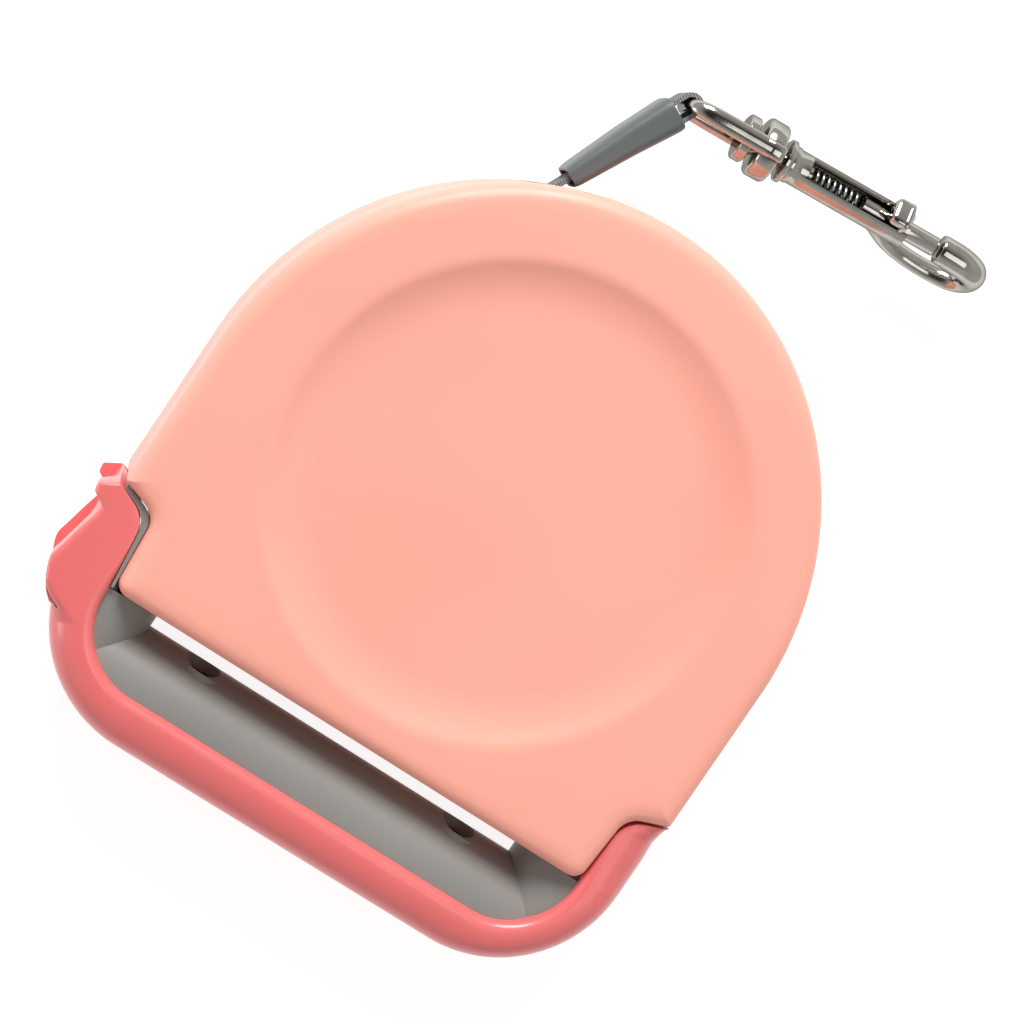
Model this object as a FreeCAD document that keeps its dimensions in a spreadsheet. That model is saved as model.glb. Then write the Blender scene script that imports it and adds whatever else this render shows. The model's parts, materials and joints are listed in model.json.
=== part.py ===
import FreeCAD, Part
import math
import os
import Sketcher
from FreeCAD import Placement, Rotation, Vector

# Retractable leash lying on its back: +Z is the thickness, front face up.  The modelling frame has the
# reel's axis at x = y = 0; +Y runs from the handle bar to the leash exit, +X along the handle bar.
# Every sub-part is then placed by origin_x and origin_y, so that the row's origin is the centre of the
# footprint.

os.makedirs("parts", exist_ok=True)
doc = FreeCAD.newDocument("retractable_leash")

# ---------------------------------------------------------------- driving dimensions (millimetres)
DIMENSIONS = {
    "origin_x": 1.6, "origin_y": -5.798,
    # round housing
    "housing_radius": 62.0, "side_x": 64.0, "shoulder_x": 3.0, "shoulder_y": 4.0,
    "thickness": 32.0, "split_z": 16.0, "wall": 2.2, "arm_round": 5.0,
    "bottom_y": 55.2, "notch_side_y": 36.2, "notch_mid_x": 55.6, "notch_mid_y": 39.3, "notch_x": 54.5,
    "notch_round": 4.0, "corner_round": 2.5, "edge_round": 3.0,
    "dish_depth": 2.4, "dish_floor_radius": 38.5, "dish_lip_radius": 48.3, "dish_round": 9.0,
    "lip_round": 2.4,
    # fasteners and seats inside the housing
    "boss_radius": 3.2, "pilot_radius": 1.15, "pilot_depth": 12.0, "pilot_through": 20.0,
    "head_hole_radius": 2.5, "head_depth": 8.0, "seat_radius": 7.0, "seat_height": 2.9,
    "seat_floor": 1.2, "weld": 0.5,
    # handle
    "handle_x": 64.8, "handle_y": 82.0, "arm_top_x": 64.2, "arm_full_y": 48.0,
    "handle_low_z": 2.0, "handle_high_z": 30.0, "handle_wall": 1.9,
    "handle_corner": 28.0, "grip_x": 55.1, "grip_y": 71.7, "grip_corner": 15.0, "handle_edge": 2.2,
    "joint_gap": 0.35, "button_gap": 1.3, "button_drop": 0.9,
    "crown": 12.2, "liner_wall": 2.4, "liner_gap": 0.5, "liner_low_z": 4.1,
    "liner_high_z": 27.9, "screw_recess_x": 30.6, "screw_rise": 2.0, "handle_post_radius": 2.9,
    "handle_pilot_depth": 6.5, "handle_head_radius": 2.4, "handle_head_depth": 6.5,
    # reel and spring
    "axle_radius": 4.0, "running_gap": 0.05, "hub_radius": 24.0, "hub_wall": 2.0, "flange_radius": 47.4,
    "flange_low_z": 8.2, "flange": 1.4, "coil_radius": 46.0, "tape_line": 47.1, "tape_width": 10.0,
    "tape_thickness": 1.0, "tooth_count": 24.0, "tooth_depth": 2.6,
    # leash end: all distances run along the straight tape from its tangent point on the reel
    "tape_lean": 25.0, "sleeve_start": 43.2, "sleeve_length": 24.4, "sleeve_thin": 4.7,
    "sleeve_thick": 7.5, "sleeve_width": 12.4, "eye_pin_at": 70.8, "eye_bar_radius": 1.15,
    # snap hook: distances run from the eye's end bar along the hook's own axis
    "hook_turn": 5.5, "hook_roll": 23.0, "eye_height": 17.6, "eye_length": 21.0, "strap_width": 3.9,
    "strap": 2.3, "swivel_boss_radius": 6.3, "swivel_boss": 4.6, "post_radius": 1.7,
    "post_head_radius": 4.9, "post_head": 2.4, "post_at": 12.3, "collar_at": 22.0,
    "collar_radius": 4.6, "barrel_at": 24.6, "barrel_end": 51.2, "barrel_radius": 3.7,
    "plunger_tail": 40.6, "knob_at": 48.8,
    "bore_radius": 2.15, "plunger_radius": 2.1, "plunger_end": 58.6, "nose_at": 59.0, "hook_end": 71.8,
    "hook_drop": 10.8, "hook_stock": 2.1,
    # brake
    "button_rise": 3.2, "button_low_z": 3.4, "button_high_z": 28.6, "button_travel": 2.2,
    "lever_x": -45.0, "lever_y": -27.0, "lever_pin_radius": 1.5, "guide_pin_radius": 1.2,
    "lever_hub": 3.2, "pawl_low_z": 7.9, "pawl_high_z": 10.1, "crank_low_z": 13.9, "crank_high_z": 18.1,
    "button_depth": 4.0, "button_spring_y": -46.5, "button_spring_z": 23.0,
}

sheet = doc.addObject("Spreadsheet::Sheet", "Dimensions")
for row, (alias, value) in enumerate(DIMENSIONS.items(), start=1):
    sheet.set("A%d" % row, alias)
    sheet.set("B%d" % row, str(value))
    sheet.setAlias("B%d" % row, alias)
doc.recompute()


def dim(alias):
    """Current value of a driving dimension."""
    return float(getattr(sheet, alias))


def cell(text):
    """An expression with every driving dimension's name pointing at its cell."""
    words = []
    for word in text.replace("(", " ( ").replace(")", " ) ").split():
        words.append("Dimensions." + word if word in DIMENSIONS else word)
    return " ".join(words)


def bind(target, **expressions):
    """Bind properties of an object to expressions in the driving dimensions."""
    for name, text in expressions.items():
        target.setExpression(name.replace("__", "."), cell(text))


parts = []


def keep(part, name):
    """Name a finished sub-part, place it in the row's frame and remember it for export."""
    part.Label = name
    local = part.Placement
    part.Placement = Placement(Vector(dim("origin_x"), dim("origin_y"), 0), Rotation()).multiply(local)
    parts.append(part)
    return part


def shape_part(name, shape):
    """A sub-part whose shape comes straight from Part's own functions."""
    part = doc.addObject("Part::Feature", name)
    part.Shape = shape.removeSplitter()
    return keep(part, name)


# ---------------------------------------------------------------- PartDesign helpers
def origin_plane(body, role):
    for feature in body.Origin.OriginFeatures:
        if feature.Role == role:
            return feature
    raise ValueError(role)


def new_body(name):
    return doc.addObject("PartDesign::Body", name)


def new_sketch(body, name, role="XY_Plane", height=None):
    sketch = body.newObject("Sketcher::SketchObject", name)
    sketch.AttachmentSupport = [(origin_plane(body, role), "")]
    sketch.MapMode = "FlatFace"
    if height is not None:
        sketch.setExpression("AttachmentOffset.Base.z", cell(height))
    return sketch


def polygon(sketch, corners):
    """Closed polygon; each corner is a pair of expressions, dimensioned from the sketch's origin."""
    values = [(evaluate(x), evaluate(y)) for x, y in corners]
    count = len(values)
    for index, (x, y) in enumerate(values):
        nx, ny = values[(index + 1) % count]
        sketch.addGeometry(Part.LineSegment(Vector(x, y, 0), Vector(nx, ny, 0)), False)
    for index in range(count):
        sketch.addConstraint(Sketcher.Constraint("Coincident", index, 2, (index + 1) % count, 1))
    for index, (x_text, y_text) in enumerate(corners):
        for axis, text in (("DistanceX", x_text), ("DistanceY", y_text)):
            number = sketch.addConstraint(
                Sketcher.Constraint(axis, -1, 1, index, 1, evaluate(text)))
            sketch.setExpression("Constraints[%d]" % number, cell(text))
    return sketch


def circle(sketch, x_text, y_text, radius_text):
    """Circle dimensioned from the sketch's origin."""
    centre = Vector(evaluate(x_text), evaluate(y_text), 0)
    number = sketch.addGeometry(Part.Circle(centre, Vector(0, 0, 1), evaluate(radius_text)), False)
    radius = sketch.addConstraint(Sketcher.Constraint("Radius", number, evaluate(radius_text)))
    sketch.setExpression("Constraints[%d]" % radius, cell(radius_text))
    if evaluate(x_text) == 0 and evaluate(y_text) == 0:
        sketch.addConstraint(Sketcher.Constraint("Coincident", number, 3, -1, 1))
        return sketch
    for axis, text in (("DistanceX", x_text), ("DistanceY", y_text)):
        place = sketch.addConstraint(Sketcher.Constraint(axis, -1, 1, number, 3, evaluate(text)))
        sketch.setExpression("Constraints[%d]" % place, cell(text))
    return sketch


def half_disc(sketch, radius_text):
    """Half disc above the sketch's X axis, its radius dimensioned."""
    radius = evaluate(radius_text)
    whole = Part.Circle(Vector(), Vector(0, 0, 1), radius)
    arc = sketch.addGeometry(Part.ArcOfCircle(whole, 0, math.pi), False)
    line = sketch.addGeometry(Part.LineSegment(Vector(-radius, 0, 0), Vector(radius, 0, 0)), False)
    sketch.addConstraint(Sketcher.Constraint("Coincident", arc, 3, -1, 1))
    sketch.addConstraint(Sketcher.Constraint("Coincident", arc, 2, line, 1))
    sketch.addConstraint(Sketcher.Constraint("Coincident", line, 2, arc, 1))
    sketch.addConstraint(Sketcher.Constraint("Horizontal", line))
    number = sketch.addConstraint(Sketcher.Constraint("Radius", arc, radius))
    sketch.setExpression("Constraints[%d]" % number, cell(radius_text))
    return sketch


def round_top(sketch):
    """Top of the housing: an arc round the reel's axis, running into the sides through wider arcs."""
    radius = evaluate("housing_radius")
    side, down = evaluate("shoulder_x"), evaluate("shoulder_y")
    turn = math.atan2(down, side)
    wide = radius + math.hypot(side, down)
    up = Vector(0, 0, 1)
    right_circle = Part.Circle(Vector(-side, -down, 0), up, wide)
    left_circle = Part.Circle(Vector(side, -down, 0), up, wide)
    right = sketch.addGeometry(Part.ArcOfCircle(right_circle, 0, turn), False)
    middle = sketch.addGeometry(
        Part.ArcOfCircle(Part.Circle(Vector(), up, radius), turn, math.pi - turn), False)
    left = sketch.addGeometry(Part.ArcOfCircle(left_circle, math.pi - turn, math.pi), False)
    base = sketch.addGeometry(
        Part.LineSegment(Vector(side - wide, -down, 0), Vector(wide - side, -down, 0)), False)
    sketch.addConstraint(Sketcher.Constraint("Tangent", right, 2, middle, 1))
    sketch.addConstraint(Sketcher.Constraint("Tangent", middle, 2, left, 1))
    sketch.addConstraint(Sketcher.Constraint("Coincident", left, 2, base, 1))
    sketch.addConstraint(Sketcher.Constraint("Coincident", base, 2, right, 1))
    sketch.addConstraint(Sketcher.Constraint("Coincident", middle, 3, -1, 1))
    sketch.addConstraint(Sketcher.Constraint("Horizontal", base))
    sizes = [("Radius", (middle,), "housing_radius"),
             ("DistanceX", (-1, 1, right, 3), "-1 * shoulder_x"),
             ("DistanceY", (-1, 1, right, 3), "-1 * shoulder_y"),
             ("DistanceX", (-1, 1, left, 3), "shoulder_x"),
             ("DistanceY", (-1, 1, left, 3), "-1 * shoulder_y"),
             ("DistanceY", (-1, 1, base, 1), "-1 * shoulder_y")]
    for kind, places, text in sizes:
        number = sketch.addConstraint(Sketcher.Constraint(kind, *places, evaluate(text)))
        sketch.setExpression("Constraints[%d]" % number, cell(text))
    return sketch


def evaluate(text):
    """Value of an expression in the driving dimensions, worked out by the sheet's document."""
    return float(sheet.evalExpression(cell(text)))


def pad(body, sketch, name, length, reverse=False):
    feature = body.newObject("PartDesign::Pad", name)
    feature.Profile = sketch
    feature.setExpression("Length", cell(length))
    feature.Reversed = reverse
    doc.recompute()
    return feature


def pocket(body, sketch, name, length, reverse=False):
    """Pocket that must take material away."""
    before = body.Shape.Volume
    feature = body.newObject("PartDesign::Pocket", name)
    feature.Profile = sketch
    feature.setExpression("Length", cell(length))
    feature.Reversed = reverse
    doc.recompute()
    if not body.Shape.Volume < before - 0.01:
        raise RuntimeError("pocket %s cuts nothing" % name)
    return feature


def fillet(body, name, radius, chosen):
    """Fillet on the edges of the tip for which chosen(edge) is true."""
    tip = body.Tip
    names = ["Edge%d" % n for n, edge in enumerate(tip.Shape.Edges, start=1) if chosen(edge)]
    if not names:
        raise RuntimeError("fillet %s finds no edge" % name)
    feature = body.newObject("PartDesign::Fillet", name)
    feature.Base = (tip, names)
    feature.setExpression("Radius", cell(radius))
    doc.recompute()
    return feature


def upright_at(x, y, tolerance=0.05):
    """Chooser for vertical edges at (|x|, y)."""
    def chosen(edge):
        box = edge.BoundBox
        return (box.ZLength > 1 and box.XLength < tolerance and box.YLength < tolerance
                and abs(abs(box.Center.x) - abs(x)) < tolerance and abs(box.Center.y - y) < tolerance)
    return chosen


def flat_at(z, inside=None):
    """Chooser for edges that lie in the plane z, and optionally whose middle passes a test."""
    def chosen(edge):
        box = edge.BoundBox
        if abs(box.ZMin - z) > 0.01 or box.ZLength > 0.02:
            return False
        middle = edge.valueAt((edge.FirstParameter + edge.LastParameter) / 2)
        return inside is None or inside(middle)
    return chosen


# ---------------------------------------------------------------- housing covers
BOSSES = [(-44.0, -49.5), (44.0, -49.5), (0.0, 55.6), (43.0, 36.0)]


def tape_direction():
    lean = math.radians(dim("tape_lean"))
    return Vector(math.sin(lean), math.cos(lean), 0)


def tape_point(distance, z=None):
    """Point on the tape's centre line, a distance from its tangent point on the reel."""
    along = tape_direction()
    start = Vector(-along.y, along.x, 0) * dim("tape_line")
    point = start + along * distance
    point.z = dim("split_z") if z is None else z
    return point


def block(length, width, height, centre, direction=Vector(1, 0, 0)):
    """Box centred on a point, its length along a direction in the XY plane."""
    box = Part.makeBox(length, width, height, Vector(-length / 2, -width / 2, -height / 2))
    turn = math.degrees(math.atan2(direction.y, direction.x))
    box.Placement = Placement(centre, Rotation(Vector(0, 0, 1), turn))
    return box


def cover(name, front):
    """One half of the housing: round top, straight sides, two notches for the handle's arms, a dish."""
    body = new_body(name)
    side = 1 if front else -1
    base = "split_z"
    depth = "thickness - split_z" if front else "split_z"
    round_sketch = round_top(new_sketch(body, name + "_disc", height=base))
    pad(body, round_sketch, name + "_round", depth, reverse=not front)
    lower = new_sketch(body, name + "_skirt", height=base)
    polygon(lower, [
        ("side_x", "-1 * shoulder_y"), ("-1 * side_x", "-1 * shoulder_y"),
        ("-1 * side_x", "-1 * notch_side_y"),
        ("-1 * notch_mid_x", "-1 * notch_mid_y"), ("-1 * notch_x", "-1 * bottom_y"),
        ("notch_x", "-1 * bottom_y"), ("notch_mid_x", "-1 * notch_mid_y"),
        ("side_x", "-1 * notch_side_y")])
    pad(body, lower, name + "_lower", depth, reverse=not front)
    fillet(body, name + "_notch", "notch_round", upright_at(dim("notch_mid_x"), -dim("notch_mid_y")))
    fillet(body, name + "_corner", "corner_round", upright_at(dim("notch_x"), -dim("bottom_y")))
    face_z = dim("thickness") if front else 0.0
    # dish: a shallow cone frustum cut, then blended at the floor and at the lip
    dish = new_sketch(body, name + "_dish_profile", "XZ_Plane")
    if front:
        floor, top, above = "thickness - dish_depth", "thickness", "thickness + 1"
    else:
        floor, top, above = "dish_depth", "0", "-1"
    polygon(dish, [("0", floor), ("dish_floor_radius", floor), ("dish_lip_radius", top),
                   ("dish_lip_radius", above), ("0", above)])
    before = body.Shape.Volume
    groove = body.newObject("PartDesign::Groove", name + "_dish")
    groove.Profile = dish
    groove.ReferenceAxis = (dish, ["V_Axis"])
    groove.Angle = 360
    doc.recompute()
    if not body.Shape.Volume < before - 1:
        raise RuntimeError("dish cuts nothing")

    def ring(radius, z):
        return lambda edge: (isinstance(edge.Curve, Part.Circle)
                             and abs(edge.Curve.Radius - radius) < 0.01
                             and abs(edge.BoundBox.Center.z - z) < 0.01)
    floor_z = face_z - side * dim("dish_depth")
    fillet(body, name + "_dish_blend", "dish_round", ring(dim("dish_floor_radius"), floor_z))
    fillet(body, name + "_dish_lip", "lip_round", ring(dim("dish_lip_radius"), face_z))
    far = dim("dish_lip_radius") + 3
    fillet(body, name + "_rim", "edge_round",
           flat_at(face_z, lambda point: math.hypot(point.x, point.y) > far))
    # hollow inside
    hollow = half_disc(new_sketch(body, name + "_hollow_disc", height=base), "housing_radius - wall")
    inner_depth = depth + " - wall - dish_depth"
    pocket(body, hollow, name + "_hollow_round", inner_depth, reverse=front)
    skirt = new_sketch(body, name + "_hollow_skirt", height=base)
    polygon(skirt, [
        ("side_x - wall", "0"), ("-1 * side_x + wall", "0"),
        ("-1 * side_x + wall", "-1 * notch_side_y + wall"),
        ("-1 * notch_mid_x + wall + 1", "-1 * notch_mid_y + wall"),
        ("-1 * notch_x + wall", "-1 * bottom_y + wall"), ("notch_x - wall", "-1 * bottom_y + wall"),
        ("notch_mid_x - wall - 1", "-1 * notch_mid_y + wall"),
        ("side_x - wall", "-1 * notch_side_y + wall")])
    pocket(body, skirt, name + "_hollow_lower", inner_depth, reverse=front)
    # screw bosses and the axle's seat
    for number, (x, y) in enumerate(BOSSES):
        seat = circle(new_sketch(body, name + "_boss_%d" % number, height=base),
                      str(x), str(y), "boss_radius")
        pad(body, seat, name + "_boss_pad_%d" % number, inner_depth + " + weld", reverse=not front)
    seat_face = "wall + dish_depth + seat_height"
    if front:
        seat_face = "thickness - wall - dish_depth - seat_height"
    hub = circle(new_sketch(body, name + "_hub", height=seat_face), "0", "0", "seat_radius")
    pad(body, hub, name + "_hub_pad", "seat_height + weld", reverse=not front)
    bore = circle(new_sketch(body, name + "_axle_bore", height=base), "0", "0", "axle_radius")
    pocket(body, bore, name + "_axle_pocket", depth + " - dish_depth - seat_floor", reverse=front)
    for number, (x, y) in enumerate(BOSSES):
        hole = circle(new_sketch(body, name + "_pilot_%d" % number, height=base),
                      str(x), str(y), "pilot_radius")
        length = "pilot_depth" if front else "pilot_through"
        pocket(body, hole, name + "_pilot_hole_%d" % number, length, reverse=front)
        if not front:
            head = circle(new_sketch(body, name + "_head_%d" % number, height="-1"),
                          str(x), str(y), "head_hole_radius")
            pocket(body, head, name + "_head_hole_%d" % number, "head_depth + 1", reverse=True)
    return body


GUIDE_PIN_AT = 26.0
GUIDE_PIN_OFFSET = 2.1


def pin_rods():
    """Two steel guide pins beside the tape and the brake lever's pin, all seated in both covers."""
    low = dim("wall") + dim("dish_depth") - 0.6
    length = dim("thickness") - 2 * low
    across = Vector(-tape_direction().y, tape_direction().x, 0)
    beside = across * GUIDE_PIN_OFFSET
    guides = [Part.makeCylinder(dim("guide_pin_radius"), length, tape_point(GUIDE_PIN_AT, low) + step)
              for step in (-beside, beside)]
    pivot = Vector(dim("lever_x"), dim("lever_y"), low)
    return guides + [Part.makeCylinder(dim("lever_pin_radius"), length, pivot)]


def cut_by(name, body, tools):
    """Final sub-part: a body less a tool solid, both kept in the document."""
    tool = doc.addObject("Part::Feature", name + "_tools")
    tool.Shape = tools[0].fuse(tools[1:]) if len(tools) > 1 else tools[0]
    result = doc.addObject("Part::Cut", name)
    result.Base = body
    result.Tool = tool
    doc.recompute()
    return result


GUIDE_WIDTH = 7.0
GUIDE_HEIGHT = 15.0
GUIDE_SEAT = 12.0


def housing_openings():
    """Spaces taken out of both covers: the exit guide's seat and the brake lever's window."""
    seat = block(GUIDE_SEAT, GUIDE_WIDTH, GUIDE_HEIGHT, tape_point(dim("sleeve_start") - 1.9),
                 tape_direction())
    sill = dim("crank_low_z") - dim("weld")
    window = Part.makeBox(7.0, 16.6, dim("crank_high_z") + dim("weld") - sill, Vector(-57.0, -53.1, sill))
    return [seat, window] + pin_rods()


keep(cut_by("rear_cover", cover("rear_cover_body", False), housing_openings()), "rear_cover")
keep(cut_by("front_cover", cover("front_cover_body", True), housing_openings()), "front_cover")


# ---------------------------------------------------------------- handle shells
HANDLE_SCREWS = [(-35.0, -78.2), (35.0, -78.2)]
BUTTON_TOP = -37.3
BUTTON_BOTTOM = -64.0


def handle_outline(sketch, inset, open_inside=False):
    """U of the handle, its arm tops cut to the housing's notches; inset moves every side inwards."""
    gap = "joint_gap"
    outer = "handle_x - %g" % inset
    bend = "( handle_corner - %g )" % inset
    inner = "grip_x - 6" if open_inside else "grip_x + %g" % inset
    low = "-1 * handle_y + %g" % inset
    bar = "-1 * grip_y + 6" if open_inside else "-1 * grip_y - %g" % inset
    top = "-1 * notch_side_y - %s - %g" % (gap, inset * 1.6)
    shoulder = "-1 * notch_mid_y - %s - %g" % (gap, inset * 1.6)
    mid = inner if open_inside else "notch_mid_x + 0.1 + %g" % inset
    arm_top = "arm_top_x - %g" % inset
    corner = [(outer, low)]
    if open_inside:
        corner = [(outer, "%s + %s" % (low, bend)),
                  ("%s - 0.2929 * %s" % (outer, bend), "%s + 0.2929 * %s" % (low, bend)),
                  ("%s - %s" % (outer, bend), low)]
    mirrored = [("-1 * ( %s )" % x, y) for x, y in reversed(corner)]
    return polygon(sketch, [(arm_top, top), (outer, "-1 * arm_full_y")] + corner + mirrored + [
        ("-1 * ( %s )" % outer, "-1 * arm_full_y"),
        ("-1 * ( %s )" % arm_top, top + " - button_drop"),
        ("-1 * ( %s + button_gap )" % mid, shoulder + " - button_drop"),
        ("-1 * ( %s )" % inner, "-1 * bottom_y - 0.4"),
        ("-1 * ( %s )" % inner, bar), (inner, bar), (inner, "-1 * bottom_y - 0.4"), (mid, shoulder)])


def handle_shell(name, front):
    """Front or rear half of the handle: face wall and outer wall, open towards the grip liner."""
    body = new_body(name + "_body")
    depth = "handle_high_z - split_z" if front else "split_z - handle_low_z"
    face_z = dim("handle_high_z") if front else dim("handle_low_z")
    outline = handle_outline(new_sketch(body, name + "_outline", height="split_z"), 0)
    pad(body, outline, name + "_pad", depth, reverse=not front)
    shoulder_x = dim("notch_mid_x") + 0.1
    shoulder_y = -dim("notch_mid_y") - dim("joint_gap")
    for side, gap, drop in (("plain", 0, 0), ("button", dim("button_gap"), dim("button_drop"))):
        fillet(body, name + "_shoulder_" + side, "arm_round",
               upright_at(shoulder_x + gap, shoulder_y - drop))
    fillet(body, name + "_outer_corners", "handle_corner", upright_at(dim("handle_x"), -dim("handle_y")))
    fillet(body, name + "_inner_corners", "grip_corner", upright_at(dim("grip_x"), -dim("grip_y")))
    below = -dim("notch_mid_y") - 2
    fillet(body, name + "_edge", "handle_edge", flat_at(face_z, lambda point: point.y < below))
    hollow = handle_outline(new_sketch(body, name + "_hollow_outline", height="split_z"),
                            dim("handle_wall"), open_inside=True)
    pocket(body, hollow, name + "_hollow", depth + " - handle_wall", reverse=front)
    for number, (x, y) in enumerate(HANDLE_SCREWS):
        post = circle(new_sketch(body, name + "_post_%d" % number, height="split_z"),
                      str(x), str(y), "handle_post_radius")
        pad(body, post, name + "_post_pad_%d" % number, depth + " - handle_wall + weld",
            reverse=not front)
    for number, (x, y) in enumerate(HANDLE_SCREWS):
        hole = circle(new_sketch(body, name + "_pilot_%d" % number, height="split_z"),
                      str(x), str(y), "pilot_radius")
        length = "handle_pilot_depth" if front else "pilot_through"
        pocket(body, hole, name + "_pilot_hole_%d" % number, length, reverse=front)
        if not front:
            head = circle(new_sketch(body, name + "_head_%d" % number, height="-1"),
                          str(x), str(y), "handle_head_radius")
            pocket(body, head, name + "_head_hole_%d" % number, "handle_head_depth + 1", reverse=True)
    return body


def button_outline():
    """Side profile of the thumb button: ridged head, concave seat, long swell, rounded end."""
    x = -dim("handle_x")
    rise = dim("button_rise")
    head = Vector(x - rise, BUTTON_TOP - 2.0, 0)
    head_low = Vector(x - rise + 0.2, BUTTON_TOP - 3.9, 0)
    seat_high = Vector(x - 0.6, BUTTON_TOP - 5.5, 0)
    seat_low = Vector(x - 0.45, BUTTON_TOP - 7.2, 0)
    flank = Vector(x - 1.5, BUTTON_TOP - 11.2, 0)
    swell = Vector(x - 2.5, BUTTON_TOP - 15.9, 0)
    swell_low = Vector(x - rise + 0.1, BUTTON_TOP - 19.0, 0)
    end = Vector(x + 1.4, BUTTON_BOTTOM, 0)
    inner_low = Vector(x + dim("button_depth"), BUTTON_BOTTOM, 0)
    inner_high = Vector(x + dim("button_depth"), BUTTON_TOP - 1.8, 0)
    top = Vector(x + 0.1, BUTTON_TOP, 0)
    bend = Part.BSplineCurve()
    bend.interpolate([head_low, (head_low + seat_high) / 2 + Vector(0.15, 0, 0), seat_high, seat_low, flank,
                      swell, swell_low])
    tail = Part.Arc(swell_low, Vector(x - 1.8, BUTTON_BOTTOM + 4.2, 0), end)
    edges = [Part.makeLine(top, head), Part.makeLine(head, head_low), bend.toShape(), tail.toShape(),
             Part.makeLine(end, inner_low), Part.makeLine(inner_low, inner_high),
             Part.makeLine(inner_high, top)]
    return Part.Wire(edges)


def button_space():
    """Slot for the button in the left arm's outer wall, with room for its travel."""
    low = dim("button_low_z") - 0.3
    high = dim("button_high_z") + 0.3
    width = dim("button_travel") + 12.0
    return Part.makeBox(width, BUTTON_TOP - BUTTON_BOTTOM + 1.6, high - low,
                        Vector(-dim("handle_x") - 6.0, BUTTON_BOTTOM - 0.4, low))


keep(cut_by("handle_rear_shell", handle_shell("handle_rear", False), [button_space()]),
    "handle_rear_shell")
keep(cut_by("handle_front_shell", handle_shell("handle_front", True), [button_space()]),
    "handle_front_shell")


# ---------------------------------------------------------------- grip liner
LINER_TOP = -55.6
CREST_Y = -dim("grip_y") - dim("liner_gap") + dim("crown")


def crowned_space(offset):
    """Finger opening inside the crowned band; offset moves its walls outwards."""
    low, high = dim("liner_low_z"), dim("liner_high_z")
    middle = (low + high) / 2
    crest = dim("crown") - offset
    bar = dim("grip_y") + dim("liner_gap")
    side = dim("grip_x") + dim("liner_gap")
    upper, lower = Vector(0, LINER_TOP + 35, high), Vector(0, LINER_TOP + 35, low)
    across = Part.Arc(Vector(0, -bar - offset, high), Vector(0, -bar + crest, middle),
                      Vector(0, -bar - offset, low)).toShape()
    tall = Part.Wire([across, Part.makeLine(across.Vertexes[-1].Point, lower),
                      Part.makeLine(lower, upper), Part.makeLine(upper, across.Vertexes[0].Point)])
    reach = 1.2 * side
    first = Part.Face(tall).extrude(Vector(2 * reach, 0, 0))
    first.translate(Vector(-reach, 0, 0))
    right = Part.Arc(Vector(side + offset, 0, high), Vector(side - crest, 0, middle),
                     Vector(side + offset, 0, low)).toShape()
    left = Part.Arc(Vector(-side - offset, 0, low), Vector(-side + crest, 0, middle),
                    Vector(-side - offset, 0, high)).toShape()
    wide = Part.Wire([right, Part.makeLine(right.Vertexes[-1].Point, left.Vertexes[0].Point), left,
                      Part.makeLine(left.Vertexes[-1].Point, right.Vertexes[0].Point)])
    second = Part.Face(wide).extrude(Vector(0, -1.2 * dim("handle_y"), 0))
    return first.common(second)


def grip_liner():
    """Soft crowned band round the finger opening, mitred where its three walls meet."""
    outer = crowned_space(dim("liner_wall"))
    inner = crowned_space(0.0)
    band = outer.cut(inner)
    reach_x = dim("grip_x") + 3.4
    reach_y = dim("grip_y") + 3.4
    limit = Part.makeBox(2 * reach_x, reach_y + LINER_TOP, 40, Vector(-reach_x, -reach_y, -4))
    limit = limit.makeFillet(15.0, [edge for edge in limit.Edges if edge.BoundBox.ZLength > 1
                                    and edge.BoundBox.YMax < -reach_y + 0.1])
    band = band.common(limit)
    for side in (-1, 1):
        base = Vector(side * dim("screw_recess_x"), CREST_Y - 6.2, dim("split_z") + dim("screw_rise"))
        boss = Part.makeCylinder(5.4, 5.0, base + Vector(0, -0.2, 0), Vector(0, 1, 0))
        band = band.fuse(boss.common(outer))
        band = band.cut(Part.makeCylinder(3.9, 8.0, base + Vector(0, 1.6, 0), Vector(0, 1, 0)))
        band = band.cut(Part.makeCylinder(1.25, 9.0, base + Vector(0, -1.0, 0), Vector(0, 1, 0)))
    return band


shape_part("grip_liner", grip_liner())


# ---------------------------------------------------------------- fasteners
def screw(place, direction, length, shank, head_radius, head_height, drive=1.1):
    """Pan head screw: place is the underside of its head, direction points along the shank."""
    body = Part.makeCylinder(shank, length, place, direction)
    point = Part.makeCone(shank, shank * 0.35, shank * 1.2, place + direction * length, direction)
    head = Part.makeCylinder(head_radius, head_height, place, direction * -1)
    top = place - direction * head_height
    slot = Part.makeBox(drive * 2.2, 0.6, 0.8, Vector(-drive * 1.1, -0.3, -0.4))
    cross = slot.copy()
    cross.rotate(Vector(), Vector(0, 0, 1), 90)
    recess = slot.fuse(cross)
    recess.Placement = Placement(top, Rotation(Vector(0, 0, 1), direction))
    return body.fuse([point, head]).cut(recess)


def group(solids):
    return Part.makeCompound(solids)


def compound_part(name, solids):
    part = doc.addObject("Part::Feature", name)
    part.Shape = group(solids)
    return keep(part, name)


UP = Vector(0, 0, 1)
DOWN = Vector(0, 0, -1)

compound_part("housing_screws", [
    screw(Vector(x, y, dim("head_depth")), UP, 17.0, 1.1, 2.35, 1.6) for x, y in BOSSES])
compound_part("liner_screws", [
    screw(Vector(side * dim("screw_recess_x"), CREST_Y - 4.6, dim("split_z") + dim("screw_rise")),
          Vector(0, -1, 0), 7.0, 1.2, 2.7, 1.3) for side in (-1, 1)])
compound_part("handle_screws", [
    screw(Vector(x, y, dim("handle_head_depth")), UP, 14.0, 1.1, 2.2, 1.5) for x, y in HANDLE_SCREWS])


# ---------------------------------------------------------------- reel
def primitive(kind, name, **expressions):
    item = doc.addObject(kind, name)
    bind(item, **expressions)
    return item


def boolean(kind, name, base, tool):
    item = doc.addObject(kind, name)
    item.Base = base
    item.Tool = tool
    return item


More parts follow.
